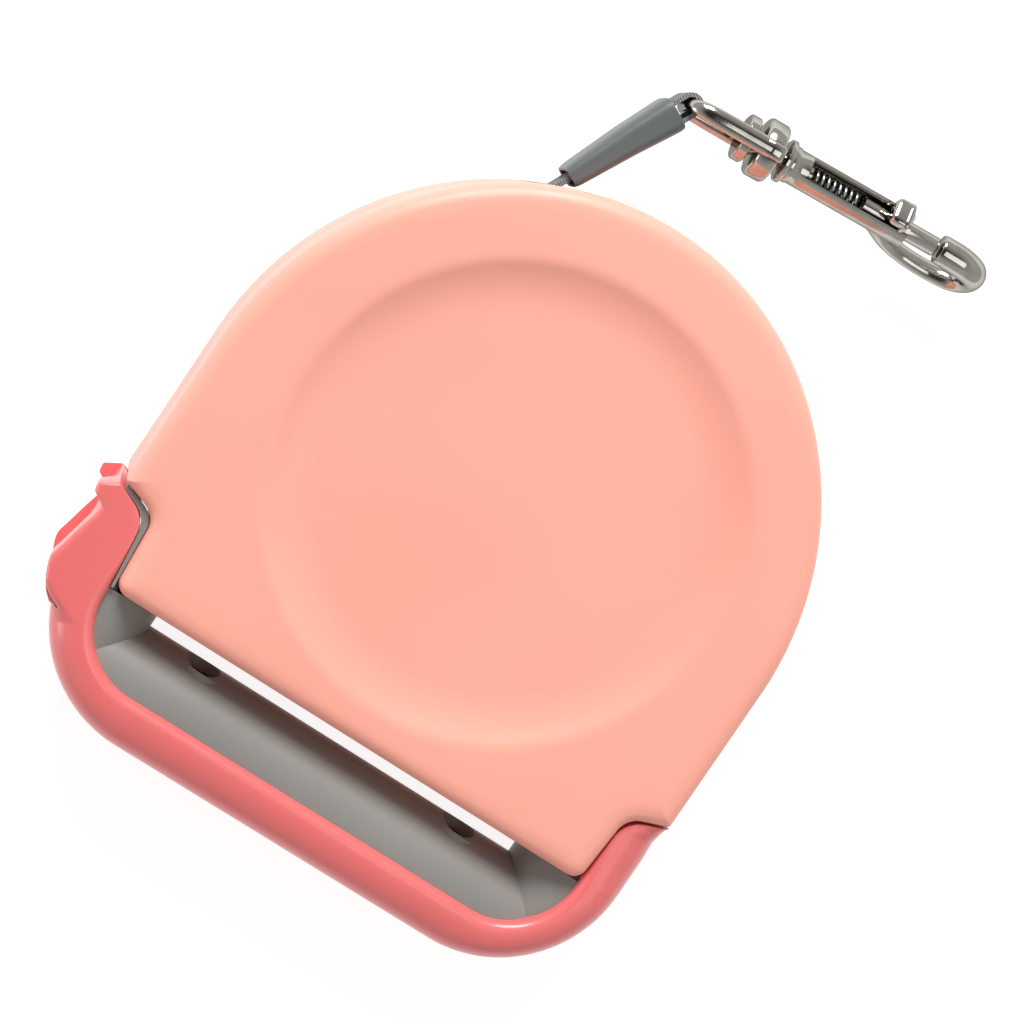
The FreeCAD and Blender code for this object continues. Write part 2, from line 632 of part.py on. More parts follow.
axle = primitive("Part::Cylinder", "axle_rod", Radius="axle_radius",
                 Height="thickness - 2 * dish_depth - 2.8", Placement__Base__z="dish_depth + 1.4")
axle_slot = primitive("Part::Box", "axle_slot", Length="0.8", Width="axle_radius * 3",
                      Height="tape_width", Placement__Base__x="-0.4",
                      Placement__Base__y="0", Placement__Base__z="split_z - tape_width / 2")
keep(boolean("Part::Cut", "spool_axle", axle, axle_slot), "spool_axle")
doc.recompute()

low_flange = dim("flange_low_z")
flange = dim("flange")
drum_top = dim("thickness") - low_flange - flange


WASHER = 0.4


def washer(low):
    """Thin ring between the reel and the housing's seat."""
    ring = Part.makeCylinder(dim("seat_radius") - 0.4, WASHER, Vector(0, 0, low))
    bore = Part.makeCylinder(dim("axle_radius") + dim("running_gap"), WASHER + 2, Vector(0, 0, low - 1))
    return ring.cut(bore)


washer_low = dim("wall") + dim("dish_depth") + dim("seat_height") + 0.1
compound_part("axle_washers", [washer(washer_low), washer(dim("thickness") - washer_low - WASHER)])


def ratchet_disc(radius, depth, count, low, height):
    """Flange whose rim is cut into square-bottomed ratchet teeth."""
    disc = Part.makeCylinder(radius, height, Vector(0, 0, low))
    pitch = 360.0 / count
    gullet = math.radians(pitch * 0.55)
    inner = radius - depth
    corners = [Vector(inner * math.cos(a), inner * math.sin(a), low - 1)
               for a in (-gullet / 2, gullet / 2)]
    far = [Vector((radius + 2) * math.cos(a), (radius + 2) * math.sin(a), low - 1)
           for a in (gullet / 2, -gullet * 0.72)]
    notch = Part.Face(Part.makePolygon(corners + far + [corners[0]])).extrude(Vector(0, 0, height + 2))
    cuts = []
    for tooth in range(int(count)):
        one = notch.copy()
        one.rotate(Vector(), UP, PAWL_ANGLE + tooth * pitch)
        cuts.append(one)
    return disc.cut(cuts)


PAWL_TIP = Vector(-35.2, -34.1, 0)
PAWL_ANGLE = math.degrees(math.atan2(PAWL_TIP.y, PAWL_TIP.x))


REEL_SCREW_TURNS = (0, 120, 240)
reel_screw_radius = dim("hub_radius") - 1.9


def reel_drum():
    """Rear flange with ratchet teeth, hub wall round the spring chamber and three screw posts."""
    disc = ratchet_disc(dim("flange_radius"), dim("tooth_depth"), dim("tooth_count"), low_flange, flange)
    hub_height = drum_top - low_flange - flange
    hub = Part.makeCylinder(dim("hub_radius"), hub_height, Vector(0, 0, low_flange + flange))
    chamber = Part.makeCylinder(dim("hub_radius") - dim("hub_wall"), hub_height + 1,
                                Vector(0, 0, low_flange + flange))
    drum = disc.fuse(hub.cut(chamber))
    for turn in REEL_SCREW_TURNS:
        post = Part.makeCylinder(2.2, hub_height, Vector(reel_screw_radius, 0, low_flange + flange))
        hole = Part.makeCylinder(0.85, hub_height, Vector(reel_screw_radius, 0, drum_top - 8))
        post.rotate(Vector(), UP, turn)
        hole.rotate(Vector(), UP, turn)
        drum = drum.fuse(post.common(Part.makeCylinder(dim("hub_radius"), 40))).cut(hole)
    return drum.cut(Part.makeCylinder(dim("axle_radius") + dim("running_gap"), 60))


def reel_cover():
    """Front flange that closes the spring chamber."""
    disc = Part.makeCylinder(dim("flange_radius") - 0.6, flange, Vector(0, 0, drum_top))
    step = 0.8
    disc = disc.fuse(Part.makeCylinder(dim("hub_radius") - dim("hub_wall") - 4.2, step,
                                       Vector(0, 0, drum_top - step)))
    disc = disc.cut(Part.makeCylinder(dim("axle_radius") + dim("running_gap"), 60))
    for turn in range(0, 360, 60):
        slot = Part.makeCylinder(4.2, 10, Vector(35.5, 0, drum_top - 3))
        slot.rotate(Vector(), UP, turn + 30)
        disc = disc.cut(slot)
    for turn in REEL_SCREW_TURNS:
        hole = Part.makeCylinder(1.2, 10, Vector(reel_screw_radius, 0, drum_top - 3))
        hole.rotate(Vector(), UP, turn)
        disc = disc.cut(hole)
    return disc


shape_part("reel_drum", reel_drum())
shape_part("reel_cover", reel_cover())
reel_screws = []
for turn in REEL_SCREW_TURNS:
    one = screw(Vector(reel_screw_radius, 0, drum_top + flange), DOWN, 6.0, 0.85, 1.7, 1.0)
    one.rotate(Vector(), UP, turn)
    reel_screws.append(one)
compound_part("reel_screws", reel_screws)


SPRING_STRIP = 0.5
SPRING_TURNS = 9


def spiral_strip(inner, outer, turns, thickness, low, height):
    """Flat strip wound in a spiral, from half circles whose centres alternate."""
    step = (outer - inner) / (2.0 * turns)
    edges = {1: [], -1: []}
    ends = {}
    for side in (1, -1):
        offset = side * thickness / 2
        for half in range(int(2 * turns)):
            radius = inner + step * half + offset
            centre = Vector(0 if half % 2 == 0 else step, 0, 0)
            sign = 1 if half % 2 == 0 else -1
            start = centre + Vector(sign * radius, 0, 0)
            middle = centre + Vector(0, sign * radius, 0)
            end = centre + Vector(-sign * radius, 0, 0)
            edges[side].append(Part.Arc(start, middle, end).toShape())
            ends.setdefault((side, "start"), start)
            ends[(side, "end")] = end
    caps = [Part.makeLine(ends[(-1, "start")], ends[(1, "start")]),
            Part.makeLine(ends[(1, "end")], ends[(-1, "end")])]
    wire = Part.Wire(Part.__sortEdges__(edges[1] + edges[-1] + caps))
    face = Part.Face(wire)
    face.translate(Vector(0, 0, low))
    return face.extrude(Vector(0, 0, height))


spring_width = dim("tape_width") - 0.8
shape_part("power_spring", spiral_strip(5.6, 19.2, SPRING_TURNS, SPRING_STRIP,
                                        dim("split_z") - spring_width / 2, spring_width))

coil = primitive("Part::Cylinder", "coil_outer", Radius="coil_radius", Height="tape_width",
                 Placement__Base__z="split_z - tape_width / 2")
coil_eye = primitive("Part::Cylinder", "coil_eye", Radius="hub_radius + 0.05", Height="tape_width * 2",
                     Placement__Base__z="split_z - tape_width")
keep(boolean("Part::Cut", "wound_tape", coil, coil_eye), "wound_tape")
doc.recompute()


# ---------------------------------------------------------------- exit guide and guide pins
along = tape_direction()
across = Vector(-along.y, along.x, 0)
GUIDE_LENGTH = 6.4
guide = block(GUIDE_LENGTH, GUIDE_WIDTH, GUIDE_HEIGHT,
              tape_point(dim("sleeve_start") - 0.9 - GUIDE_LENGTH / 2), along)
guide = guide.common(Part.makeCylinder(dim("housing_radius") - 0.1, 40))
guide = guide.cut(block(12, dim("tape_thickness") + 1.2, dim("tape_width") + 1.0,
                        tape_point(dim("sleeve_start") - 4), along))
shape_part("exit_guide", guide)

compound_part("guide_pins", pin_rods()[:2])

# ---------------------------------------------------------------- tape lead, sleeve and loop
lead_start = 0.6
lead_end = dim("sleeve_start") + dim("sleeve_length") - 2.5
lead = block(lead_end - lead_start, dim("tape_thickness"), dim("tape_width"),
             tape_point((lead_start + lead_end) / 2), along)
shape_part("tape_lead", lead)


def tapered_block(start, length, thin, thick, width, round_edge):
    """Sleeve blank: its thickness grows along the tape, its width stays."""
    first = Vector(0, -thin / 2, 0)
    outline = Part.makePolygon([first, Vector(length, -thick / 2, 0), Vector(length, thick / 2, 0),
                                Vector(0, thin / 2, 0), first])
    solid = Part.Face(outline).extrude(Vector(0, 0, width))
    edges = [edge for edge in solid.Edges if edge.BoundBox.XLength > 1]
    solid = solid.makeFillet(round_edge, edges)
    turn = math.degrees(math.atan2(along.y, along.x))
    solid.Placement = Placement(tape_point(start, dim("split_z") - width / 2), Rotation(UP, turn))
    return solid


sleeve = tapered_block(dim("sleeve_start"), dim("sleeve_length"), dim("sleeve_thin"), dim("sleeve_thick"),
                       dim("sleeve_width"), 1.1)
way = block(42, dim("tape_thickness") + 0.1, dim("tape_width") + 0.1,
            tape_point(dim("sleeve_start") + 5), along)
mouth = block(8.6, 5.0, dim("tape_width") + 0.2,
              tape_point(dim("sleeve_start") + dim("sleeve_length") - 4.25), along)
sleeve = sleeve.cut(way.fuse(mouth))
shape_part("leash_sleeve", sleeve)

bar_point = tape_point(dim("eye_pin_at"))
loop_inner = dim("eye_bar_radius") + 0.35
loop_outer = loop_inner + dim("tape_thickness") * 0.9
leg_length = dim("eye_pin_at") - dim("sleeve_start") - dim("sleeve_length") + 8.0


def loop_blank(radius, height):
    low = Vector(bar_point.x, bar_point.y, dim("split_z") - height / 2)
    turn = Part.makeCylinder(radius, height, low)
    legs = block(leg_length, 2 * radius, height, bar_point - along * leg_length / 2, along)
    return turn.fuse(legs)


loop = loop_blank(loop_outer, dim("tape_width")).cut(loop_blank(loop_inner, dim("tape_width") + 2))
shape_part("tape_loop", loop)


# ---------------------------------------------------------------- snap hook
# Built along its own axis: local +X from the eye's end bar to the nose, local +Z to the thumb knob's side.
# hook_turn swings it round the end bar, hook_roll tips it about its own axis.
hook_place = Placement(bar_point, Rotation(UP, dim("hook_turn"))).multiply(
    Placement(Vector(), Rotation(Vector(1, 0, 0), -dim("hook_roll"))))
eye_place = Placement(bar_point, Rotation(UP, dim("hook_turn")))
X_AXIS = Vector(1, 0, 0)


def placed(shape, place):
    moved = shape.copy()
    moved.Placement = place.multiply(moved.Placement)
    return moved


def bar_along_x(start, length, radius, z=0.0, y=0.0):
    return Part.makeCylinder(radius, length, Vector(start, y, z), X_AXIS)


def swivel_eye():
    """Long strap bent round the tape, its two ends joined in a block with two cross tabs."""
    height, length = dim("eye_height"), dim("eye_length")
    width, strap = dim("strap_width"), dim("strap")
    outer = Part.makeBox(length + dim("eye_bar_radius"), width, height,
                         Vector(-dim("eye_bar_radius"), -width / 2, -height / 2))
    bend = [edge for edge in outer.Edges if edge.BoundBox.YLength > 1 and edge.BoundBox.XLength < 0.1
            and edge.BoundBox.XMin < 0]
    outer = outer.makeFillet(3.2, bend)
    shoulder = [edge for edge in outer.Edges if edge.BoundBox.YLength > 1 and edge.BoundBox.XLength < 0.1
                and edge.BoundBox.XMin > length - 0.1]
    outer = outer.makeFillet(4.6, shoulder)
    inner = Part.makeBox(length - 5.2 - dim("eye_bar_radius"), width + 2, height - 2 * strap,
                         Vector(dim("eye_bar_radius"), -width / 2 - 1, -height / 2 + strap))
    eye = outer.cut(inner)
    bar = Part.makeCylinder(dim("eye_bar_radius"), height - 2 * strap + 0.6,
                            Vector(0, 0, -height / 2 + strap - 0.3))
    trim = Part.makeBox(dim("eye_bar_radius") * 2 + 0.02, width + 1, height - 2 * strap,
                        Vector(-dim("eye_bar_radius") - 0.01, -width / 2 - 0.5, -height / 2 + strap))
    eye = eye.cut(trim).fuse(bar)
    boss = bar_along_x(dim("eye_length") - 5.0, dim("swivel_boss"), dim("swivel_boss_radius"))
    boss = boss.makeFillet(0.5, [edge for edge in boss.Edges if edge.BoundBox.XLength < 0.1])
    return eye.fuse(boss).cut(bar_along_x(9.0, 30, dim("post_radius") + dim("running_gap")))


def swivel_post():
    """Headed rivet that holds hook and eye together: its head sits inside the eye."""
    tail_at = dim("barrel_at") + 3.05
    shank = bar_along_x(dim("post_at"), tail_at - dim("post_at"), dim("post_radius"))
    head = bar_along_x(dim("post_at"), dim("post_head"), dim("post_head_radius"))
    head = head.makeFillet(0.5, [edge for edge in head.Edges if edge.BoundBox.XLength < 0.1])
    tail = bar_along_x(tail_at, 0.8, dim("bore_radius") - 0.1)
    return shank.fuse([head, tail])


def rounded_path(points, radii):
    """Straight runs joined by tangent arcs."""
    edges = []
    last = points[0]
    for index in range(1, len(points) - 1):
        before, corner, after = points[index - 1], points[index], points[index + 1]
        to_before = (before - corner).normalize()
        to_after = (after - corner).normalize()
        half = to_before.getAngle(to_after) / 2
        reach = radii[index - 1] / math.tan(half)
        start = corner + to_before * reach
        end = corner + to_after * reach
        centre = corner + (to_before + to_after).normalize() * (radii[index - 1] / math.sin(half))
        middle = centre + (corner - centre).normalize() * radii[index - 1]
        if (start - last).Length > 1e-4:
            edges.append(Part.makeLine(last, start))
        edges.append(Part.Arc(start, middle, end).toShape())
        last = end
    edges.append(Part.makeLine(last, points[-1]))
    return Part.Wire(edges)


def hook_body():
    """Barrel with an open slot, spine that swings out below and comes back to the nose."""
    barrel = bar_along_x(dim("barrel_at"), dim("barrel_end") - dim("barrel_at"), dim("barrel_radius"))
    collar = bar_along_x(dim("collar_at"), dim("barrel_at") - dim("collar_at") + 0.3,
                         dim("collar_radius"))
    drop = -dim("hook_drop")
    end = dim("hook_end") - dim("hook_stock")
    path = rounded_path([Vector(41, 0, -2.2), Vector(47, 0, drop * 0.52), Vector(55, 0, drop),
                         Vector(end - 0.6, 0, drop * 0.86), Vector(end, 0, -1.0),
                         Vector(dim("nose_at") + 2.6, 0, 0.3)], [8.0, 7.0, 4.6, 2.6])
    first = path.Edges[0]
    profile = Part.Wire(Part.makeCircle(dim("hook_stock"), first.valueAt(first.FirstParameter),
                                        first.tangentAt(first.FirstParameter)))
    spine = path.makePipeShell([profile], True, False)
    nose = Part.makeCone(3.3, 2.3, 6.4, Vector(dim("nose_at"), 0, 0), X_AXIS)
    body = barrel.fuse([collar, spine, nose])
    bore = bar_along_x(dim("barrel_at") + 3.0, dim("barrel_end") - dim("barrel_at"), dim("bore_radius"))
    post_bore = bar_along_x(dim("collar_at") - 1, 7.0, dim("post_radius") + dim("running_gap"))
    slot = Part.makeBox(dim("barrel_end") - dim("barrel_at") - 3.7, 3.4, 8,
                        Vector(dim("barrel_at") + 3.0, -1.7, 0))
    seat = bar_along_x(dim("nose_at") - 1, 1.9, dim("plunger_radius") + 0.2)
    return body.cut(bore.fuse([post_bore, slot, seat]))


def hook_plunger():
    """Sliding bolt with its thumb knob standing out of the barrel's slot."""
    rod = bar_along_x(dim("plunger_tail"), dim("plunger_end") - dim("plunger_tail"),
                      dim("plunger_radius"))
    knob_start = dim("knob_at") - 3.4
    neck = Part.makeBox(4.6, 3.0, 4.4, Vector(knob_start, -1.5, 0))
    knob = Part.makeBox(4.6, 5.6, 2.6, Vector(knob_start, -2.8, 4.0))
    knob = knob.makeFillet(1.0, knob.Edges)
    return rod.fuse([neck, knob])


def coil_spring(start, end, radius, wire, turns, direction_place):
    """Compression spring: a helix along local X."""
    helix = Part.makeHelix((end - start) / turns, end - start, radius)
    profile = Part.Wire(Part.makeCircle(wire, Vector(radius, 0, 0), Vector(0, 1, 0)))
    coil = Part.Wire(helix).makePipeShell([profile], True, True)
    coil.Placement = Placement(Vector(start, 0, 0), Rotation(UP, X_AXIS))
    return placed(coil, direction_place)


shape_part("swivel_eye", placed(swivel_eye(), eye_place))
shape_part("swivel_post", placed(swivel_post(), eye_place))
shape_part("hook_body", placed(hook_body(), hook_place))
shape_part("hook_plunger", placed(hook_plunger(), hook_place))
shape_part("plunger_spring", coil_spring(dim("barrel_at") + 4.4, dim("plunger_tail") - 0.5, 1.55, 0.35,
                                         8, hook_place))

# ---------------------------------------------------------------- brake
button_height = dim("button_high_z") - dim("button_low_z")
button_back = dim("button_depth") - dim("handle_x")
button = Part.Face(button_outline()).extrude(Vector(0, 0, button_height))
button.translate(Vector(0, 0, dim("button_low_z")))
seat_start = Vector(button_back - 2.5, dim("button_spring_y"), dim("button_spring_z"))
spring_seat = Part.makeCylinder(3.0, 2.6, seat_start, X_AXIS)
foot = Part.makeBox(5.2, 3.6, 4.4, Vector(button_back - 0.1, -51.6, dim("crank_low_z") - 0.1))
shape_part("brake_button", button.cut(spring_seat).fuse(foot))

lever_pivot = Vector(dim("lever_x"), dim("lever_y"), 0)
LEVER_TAIL = Vector(-54.0, -49.6, 0)


def arm_plate(start, end, near, far, low, high):
    """Flat lever arm with round ends."""
    run = (end - start).normalize()
    side = Vector(-run.y, run.x, 0)
    outline = Part.makePolygon([start + side * near, end + side * far, end - side * far,
                                start - side * near, start + side * near])
    plate = Part.Face(outline).extrude(Vector(0, 0, high - low))
    ends = [Part.makeCylinder(near, high - low, start), Part.makeCylinder(far, high - low, end)]
    plate = plate.fuse(ends)
    plate.translate(Vector(0, 0, low))
    return plate


def brake_lever():
    """Bell crank: its tail meets the button's foot, its nose drops into the ratchet."""
    hub = dim("lever_hub")
    crank = arm_plate(lever_pivot, LEVER_TAIL, hub, 1.6, dim("crank_low_z"), dim("crank_high_z"))
    pawl = arm_plate(lever_pivot, PAWL_TIP, hub, 1.1, dim("pawl_low_z"), dim("pawl_high_z"))
    column = Part.makeCylinder(hub, dim("crank_high_z") - dim("pawl_low_z"),
                               lever_pivot + UP * dim("pawl_low_z"))
    lever = crank.fuse([pawl, column])
    return lever.cut(Part.makeCylinder(dim("lever_pin_radius") + dim("running_gap"), 40, lever_pivot))


shape_part("brake_lever", brake_lever())
shape_part("lever_pin", pin_rods()[2])
spring_start = Vector(button_back - 2.1, dim("button_spring_y"), dim("button_spring_z"))
shape_part("button_spring", coil_spring(0, 7.4, 2.2, 0.3, 5, Placement(spring_start, Rotation())))


# ---------------------------------------------------------------- check and export
doc.recompute()
for item in doc.Objects:
    if "Invalid" in item.State or "Error" in item.State:
        raise RuntimeError("%s did not recompute: %s" % (item.Name, item.State))
for part in parts:
    shape = part.Shape
    if shape.isNull() or not shape.isValid() or not shape.Solids:
        raise RuntimeError("%s has no sound solid" % part.Label)
for part in parts:
    part.Shape.exportStep("parts/%s.step" % part.Label)
    print("%-22s solids %d  volume %9.1f mm3" % (part.Label, len(part.Shape.Solids), part.Shape.Volume))
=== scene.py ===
import json
import math

import bmesh
import bpy
import numpy as np
from mathutils import Matrix, Vector


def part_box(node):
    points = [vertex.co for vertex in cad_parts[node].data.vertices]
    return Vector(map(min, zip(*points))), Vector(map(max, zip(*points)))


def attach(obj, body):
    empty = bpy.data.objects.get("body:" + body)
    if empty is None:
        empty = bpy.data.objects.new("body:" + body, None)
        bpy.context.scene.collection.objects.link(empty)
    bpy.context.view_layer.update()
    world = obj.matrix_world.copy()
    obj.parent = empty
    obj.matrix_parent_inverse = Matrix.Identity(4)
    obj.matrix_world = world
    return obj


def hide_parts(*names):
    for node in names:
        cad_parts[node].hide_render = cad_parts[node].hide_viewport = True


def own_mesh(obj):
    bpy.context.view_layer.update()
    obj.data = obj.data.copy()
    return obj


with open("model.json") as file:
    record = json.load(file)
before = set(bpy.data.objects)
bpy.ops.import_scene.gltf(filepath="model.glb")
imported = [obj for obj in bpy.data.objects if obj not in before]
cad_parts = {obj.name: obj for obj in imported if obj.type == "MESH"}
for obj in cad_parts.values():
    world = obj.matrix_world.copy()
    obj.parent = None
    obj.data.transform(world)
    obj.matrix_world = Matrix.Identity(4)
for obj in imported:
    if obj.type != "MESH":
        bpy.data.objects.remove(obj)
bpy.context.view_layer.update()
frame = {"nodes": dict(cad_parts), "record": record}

# Sizes are in millimetres in the frame's modelling axes: the reel's axis is at x = y = 0, +Y points from
# the handle bar to the leash exit, +X runs along the bar, and z is the height above the floor.
MM = 0.001
reel_low, reel_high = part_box("wound_tape")
REEL = (reel_low + reel_high) / 2
HOUSING_RADIUS = 62.0
SHOULDER = (3.0, 4.0)
SIDE_X = 64.0
SPLIT_Z = REEL.z / MM
THICKNESS = 2 * SPLIT_Z


def place(x, y, z):
    """A point of the modelling axes, in the row frame's metres."""
    return Vector((REEL.x + x * MM, REEL.y + y * MM, z * MM))


# ---------------------------------------------------------------- materials
def new_material(name):
    material = bpy.data.materials.new(name)
    material.use_nodes = True
    nodes = material.node_tree.nodes
    shader = nodes["Principled BSDF"]
    return material, nodes, material.node_tree.links, shader


def coordinates(nodes, links, stretch=(1, 1, 1)):
    """Object coordinates in millimetres, stretched along each axis."""
    source = nodes.new("ShaderNodeTexCoord")
    mapping = nodes.new("ShaderNodeMapping")
    mapping.inputs["Scale"].default_value = [1000 * s for s in stretch]
    links.new(source.outputs["Object"], mapping.inputs["Vector"])
    return mapping.outputs["Vector"]


def noise(nodes, links, vector, scale, detail=2.0):
    node = nodes.new("ShaderNodeTexNoise")
    node.inputs["Scale"].default_value = scale
    node.inputs["Detail"].default_value = detail
    links.new(vector, node.inputs["Vector"])
    return node.outputs["Fac"]


def ramp(nodes, links, factor, stops):
    node = nodes.new("ShaderNodeValToRGB")
    elements = node.color_ramp.elements
    while len(elements) < len(stops):
        elements.new(0.5)
    for element, (position, colour) in zip(elements, stops):
        element.position = position
        element.color = (*colour, 1.0)
    links.new(factor, node.inputs["Fac"])
    return node.outputs["Color"]


def bump(nodes, links, height, shader, strength, distance_mm):
    node = nodes.new("ShaderNodeBump")
    node.inputs["Strength"].default_value = strength
    node.inputs["Distance"].default_value = distance_mm * MM
    links.new(height, node.inputs["Height"])
    links.new(node.outputs["Normal"], shader.inputs["Normal"])


def level(value):
    return (value, value, value)


def moulded(name, colour, roughness, spread=0.05, grain=2.5, grain_depth=0.02, specular=0.5, coat=0.0):
    """Moulded plastic: faint cloudy colour, uneven gloss and a fine moulded grain."""
    material, nodes, links, shader = new_material(name)
    vector = coordinates(nodes, links)
    clouds = noise(nodes, links, vector, 0.03, 0.0)
    darker = [c * (1 - spread) for c in colour]
    lighter = [min(1.0, c * (1 + spread)) for c in colour]
    links.new(ramp(nodes, links, clouds, [(0.3, darker), (0.7, lighter)]), shader.inputs["Base Color"])
    smudges = noise(nodes, links, vector, 0.06, 0.0)
    gloss = ramp(nodes, links, smudges, [(0.3, level(roughness * 0.88)), (0.75, level(roughness * 1.12))])
    links.new(gloss, shader.inputs["Roughness"])
    bump(nodes, links, noise(nodes, links, vector, grain, 2.0), shader, 0.35, grain_depth)
    shader.inputs["Specular IOR Level"].default_value = specular
    shader.inputs["Coat Weight"].default_value = coat
    shader.inputs["Coat Roughness"].default_value = 0.12
    return material


BRUSH_STRETCH = (0.06, 1.2, 1.2)
PIT_DEPTH = 0.015


def metal(name, colour, roughness):
    """Plated or drawn metal: cloudy tarnish, fine directional marks, tiny pits."""
    material, nodes, links, shader = new_material(name)
    vector = coordinates(nodes, links)
    clouds = noise(nodes, links, vector, 0.35, 4.0)
    darker = [c * 0.86 for c in colour]
    links.new(ramp(nodes, links, clouds, [(0.35, darker), (0.65, colour)]), shader.inputs["Base Color"])
    marks = noise(nodes, links, coordinates(nodes, links, BRUSH_STRETCH), 1.4, 5.0)
    gloss = ramp(nodes, links, marks, [(0.35, level(roughness * 0.6)), (0.75, level(roughness * 1.5))])
    links.new(gloss, shader.inputs["Roughness"])
    bump(nodes, links, noise(nodes, links, vector, 0.5, 3.0), shader, 0.5, PIT_DEPTH)
    shader.inputs["Metallic"].default_value = 1.0
    shader.inputs["Specular Tint"].default_value = (0.35, 0.35, 0.34, 1)
    return material


def webbing(name, colour):
    """Woven tape: ribs across and along, with painted shade in the weave's hollows: lighter where the yarn
    rises, darker where it sinks.
    """
    material, nodes, links, shader = new_material(name)
    vector = coordinates(nodes, links)
    turned = nodes.new("ShaderNodeMapping")
    turned.inputs["Rotation"].default_value = (0, 0, math.radians(25.0))
    links.new(vector, turned.inputs["Vector"])
    heights = []
    for direction in ("Y", "Z"):
        wave = nodes.new("ShaderNodeTexWave")
        wave.bands_direction = direction
        wave.inputs["Scale"].default_value = 0.62
        wave.inputs["Distortion"].default_value = 0.6
        links.new(turned.outputs["Vector"], wave.inputs["Vector"])
        heights.append(wave.outputs["Fac"])
    weave = nodes.new("ShaderNodeMath")
    weave.operation = "MULTIPLY"
    links.new(heights[0], weave.inputs[0])
    links.new(heights[1], weave.inputs[1])
    # painted shade: the weave's low points are darkened to half the tape's colour, following the bump's
    # height
    dark = [c * 0.5 for c in colour]
    links.new(ramp(nodes, links, weave.outputs["Value"], [(0.1, dark), (0.8, colour)]),
              shader.inputs["Base Color"])
    bump(nodes, links, weave.outputs["Value"], shader, 0.8, 0.25)
    shader.inputs["Roughness"].default_value = 0.85
    return material


PINK = (0.93, 0.39, 0.3)
CORAL = (0.79, 0.163, 0.158)
materials = {
    "housing_pink": moulded("housing_pink", PINK, 0.42, spread=0.02, grain=3.0, specular=0.4),
    "handle_coral": moulded("handle_coral", CORAL, 0.3, spread=0.02, grain=1.6, grain_depth=0.01, coat=0.25),
    "liner_grey": moulded("liner_grey", (0.232, 0.226, 0.21), 0.5, spread=0.05, grain=2.2, specular=0.4),
    "sleeve_grey": moulded("sleeve_grey", (0.09, 0.103, 0.103), 0.4, spread=0.1, grain=0.8, grain_depth=0.05),
    "reel_plastic": moulded("reel_plastic", (0.6, 0.6, 0.58), 0.45),
    "hook_nickel": metal("hook_nickel", (0.5, 0.485, 0.435), 0.12),
    "steel": metal("steel", (0.56, 0.56, 0.57), 0.3),
    "tape_webbing": webbing("tape_webbing", (0.3, 0.31, 0.31)),
}
slots = {part["node"]: part["material_slot"] for part in frame["record"]["subparts"]}
for node, obj in frame["nodes"].items():
    obj.data.materials.clear()
    obj.data.materials.append(materials[slots[node]])


# ---------------------------------------------------------------- mesh helpers
def add_piece(name, points, faces, slot, body, nodes=(), smooth_angle=40.0, cutters=()):
    """A finished mesh piece: smooth shaded, cut by boxes, given its material and body; the CAD nodes it
    stands for are hidden.
    """
    mesh = bpy.data.meshes.new(name)
    mesh.from_pydata([place(*point) for point in points], [], faces)
    obj = bpy.data.objects.new(name, mesh)
    bpy.context.scene.collection.objects.link(obj)
    work = bmesh.new()
    work.from_mesh(mesh)
    bmesh.ops.remove_doubles(work, verts=work.verts, dist=1e-6)
    bmesh.ops.recalc_face_normals(work, faces=work.faces)
    work.to_mesh(mesh)
    work.free()
    for cutter in cutters:
        cut(obj, cutter)
    finish_mesh(obj, smooth_angle)
    obj.data.materials.clear()
    obj.data.materials.append(materials[slot])
    for face in obj.data.polygons:
        face.material_index = 0
    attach(obj, body)
    if nodes:
        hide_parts(*nodes)
    return obj


def finish_mesh(obj, smooth_angle):
    """Smooth shading that keeps edges sharper than the angle."""
    work = bmesh.new()
    work.from_mesh(obj.data)
    limit = math.radians(smooth_angle)
    for face in work.faces:
        face.smooth = True
    for edge in work.edges:
        edge.smooth = len(edge.link_faces) == 2 and edge.calc_face_angle(0) < limit
    work.to_mesh(obj.data)
    work.free()


def box_mesh(centre, size, turn_deg=0.0):
    """A closed box as a temporary cutter, centred on a point, turned about Z."""
    mesh = bpy.data.meshes.new("cutter")
    work = bmesh.new()
    bmesh.ops.create_cube(work, size=1.0)
    scale = Matrix.Diagonal((*[s * MM for s in size], 1))
    move = Matrix.Translation(place(*centre)) @ Matrix.Rotation(math.radians(turn_deg), 4, "Z")
    bmesh.ops.transform(work, matrix=move @ scale, verts=work.verts)
    work.to_mesh(mesh)
    work.free()
    cutter = bpy.data.objects.new("cutter", mesh)
    bpy.context.scene.collection.objects.link(cutter)
    return cutter


def cut(obj, cutter):
    """Takes the cutter out of a piece, then deletes the cutter."""
    modifier = obj.modifiers.new("cut", "BOOLEAN")
    modifier.object = cutter
    modifier.operation = "DIFFERENCE"
    modifier.solver = "MANIFOLD"
    apply_modifiers(obj)
    bpy.data.objects.remove(cutter)


def apply_modifiers(obj):
    bpy.context.view_layer.update()
    graph = bpy.context.evaluated_depsgraph_get()
    mesh = bpy.data.meshes.new_from_object(obj.evaluated_get(graph))
    obj.modifiers.clear()
    obj.data = mesh


def rows_to_faces(rows, columns, closed=True):
    """Quads between consecutive rows of points."""
    faces = []
    span = columns if closed else columns - 1
    for row in range(rows - 1):
        for column in range(span):
            right = (column + 1) % columns
            a, b = row * columns, (row + 1) * columns
            faces.append((a + column, a + right, b + right, b + column))
    return faces


def arc(centre, radius, start_deg, end_deg, count):
    """Points on a circle, both ends included."""
    angles = np.radians(np.linspace(start_deg, end_deg, count))
    return [(centre[0] + radius * math.cos(a), centre[1] + radius * math.sin(a)) for a in angles]


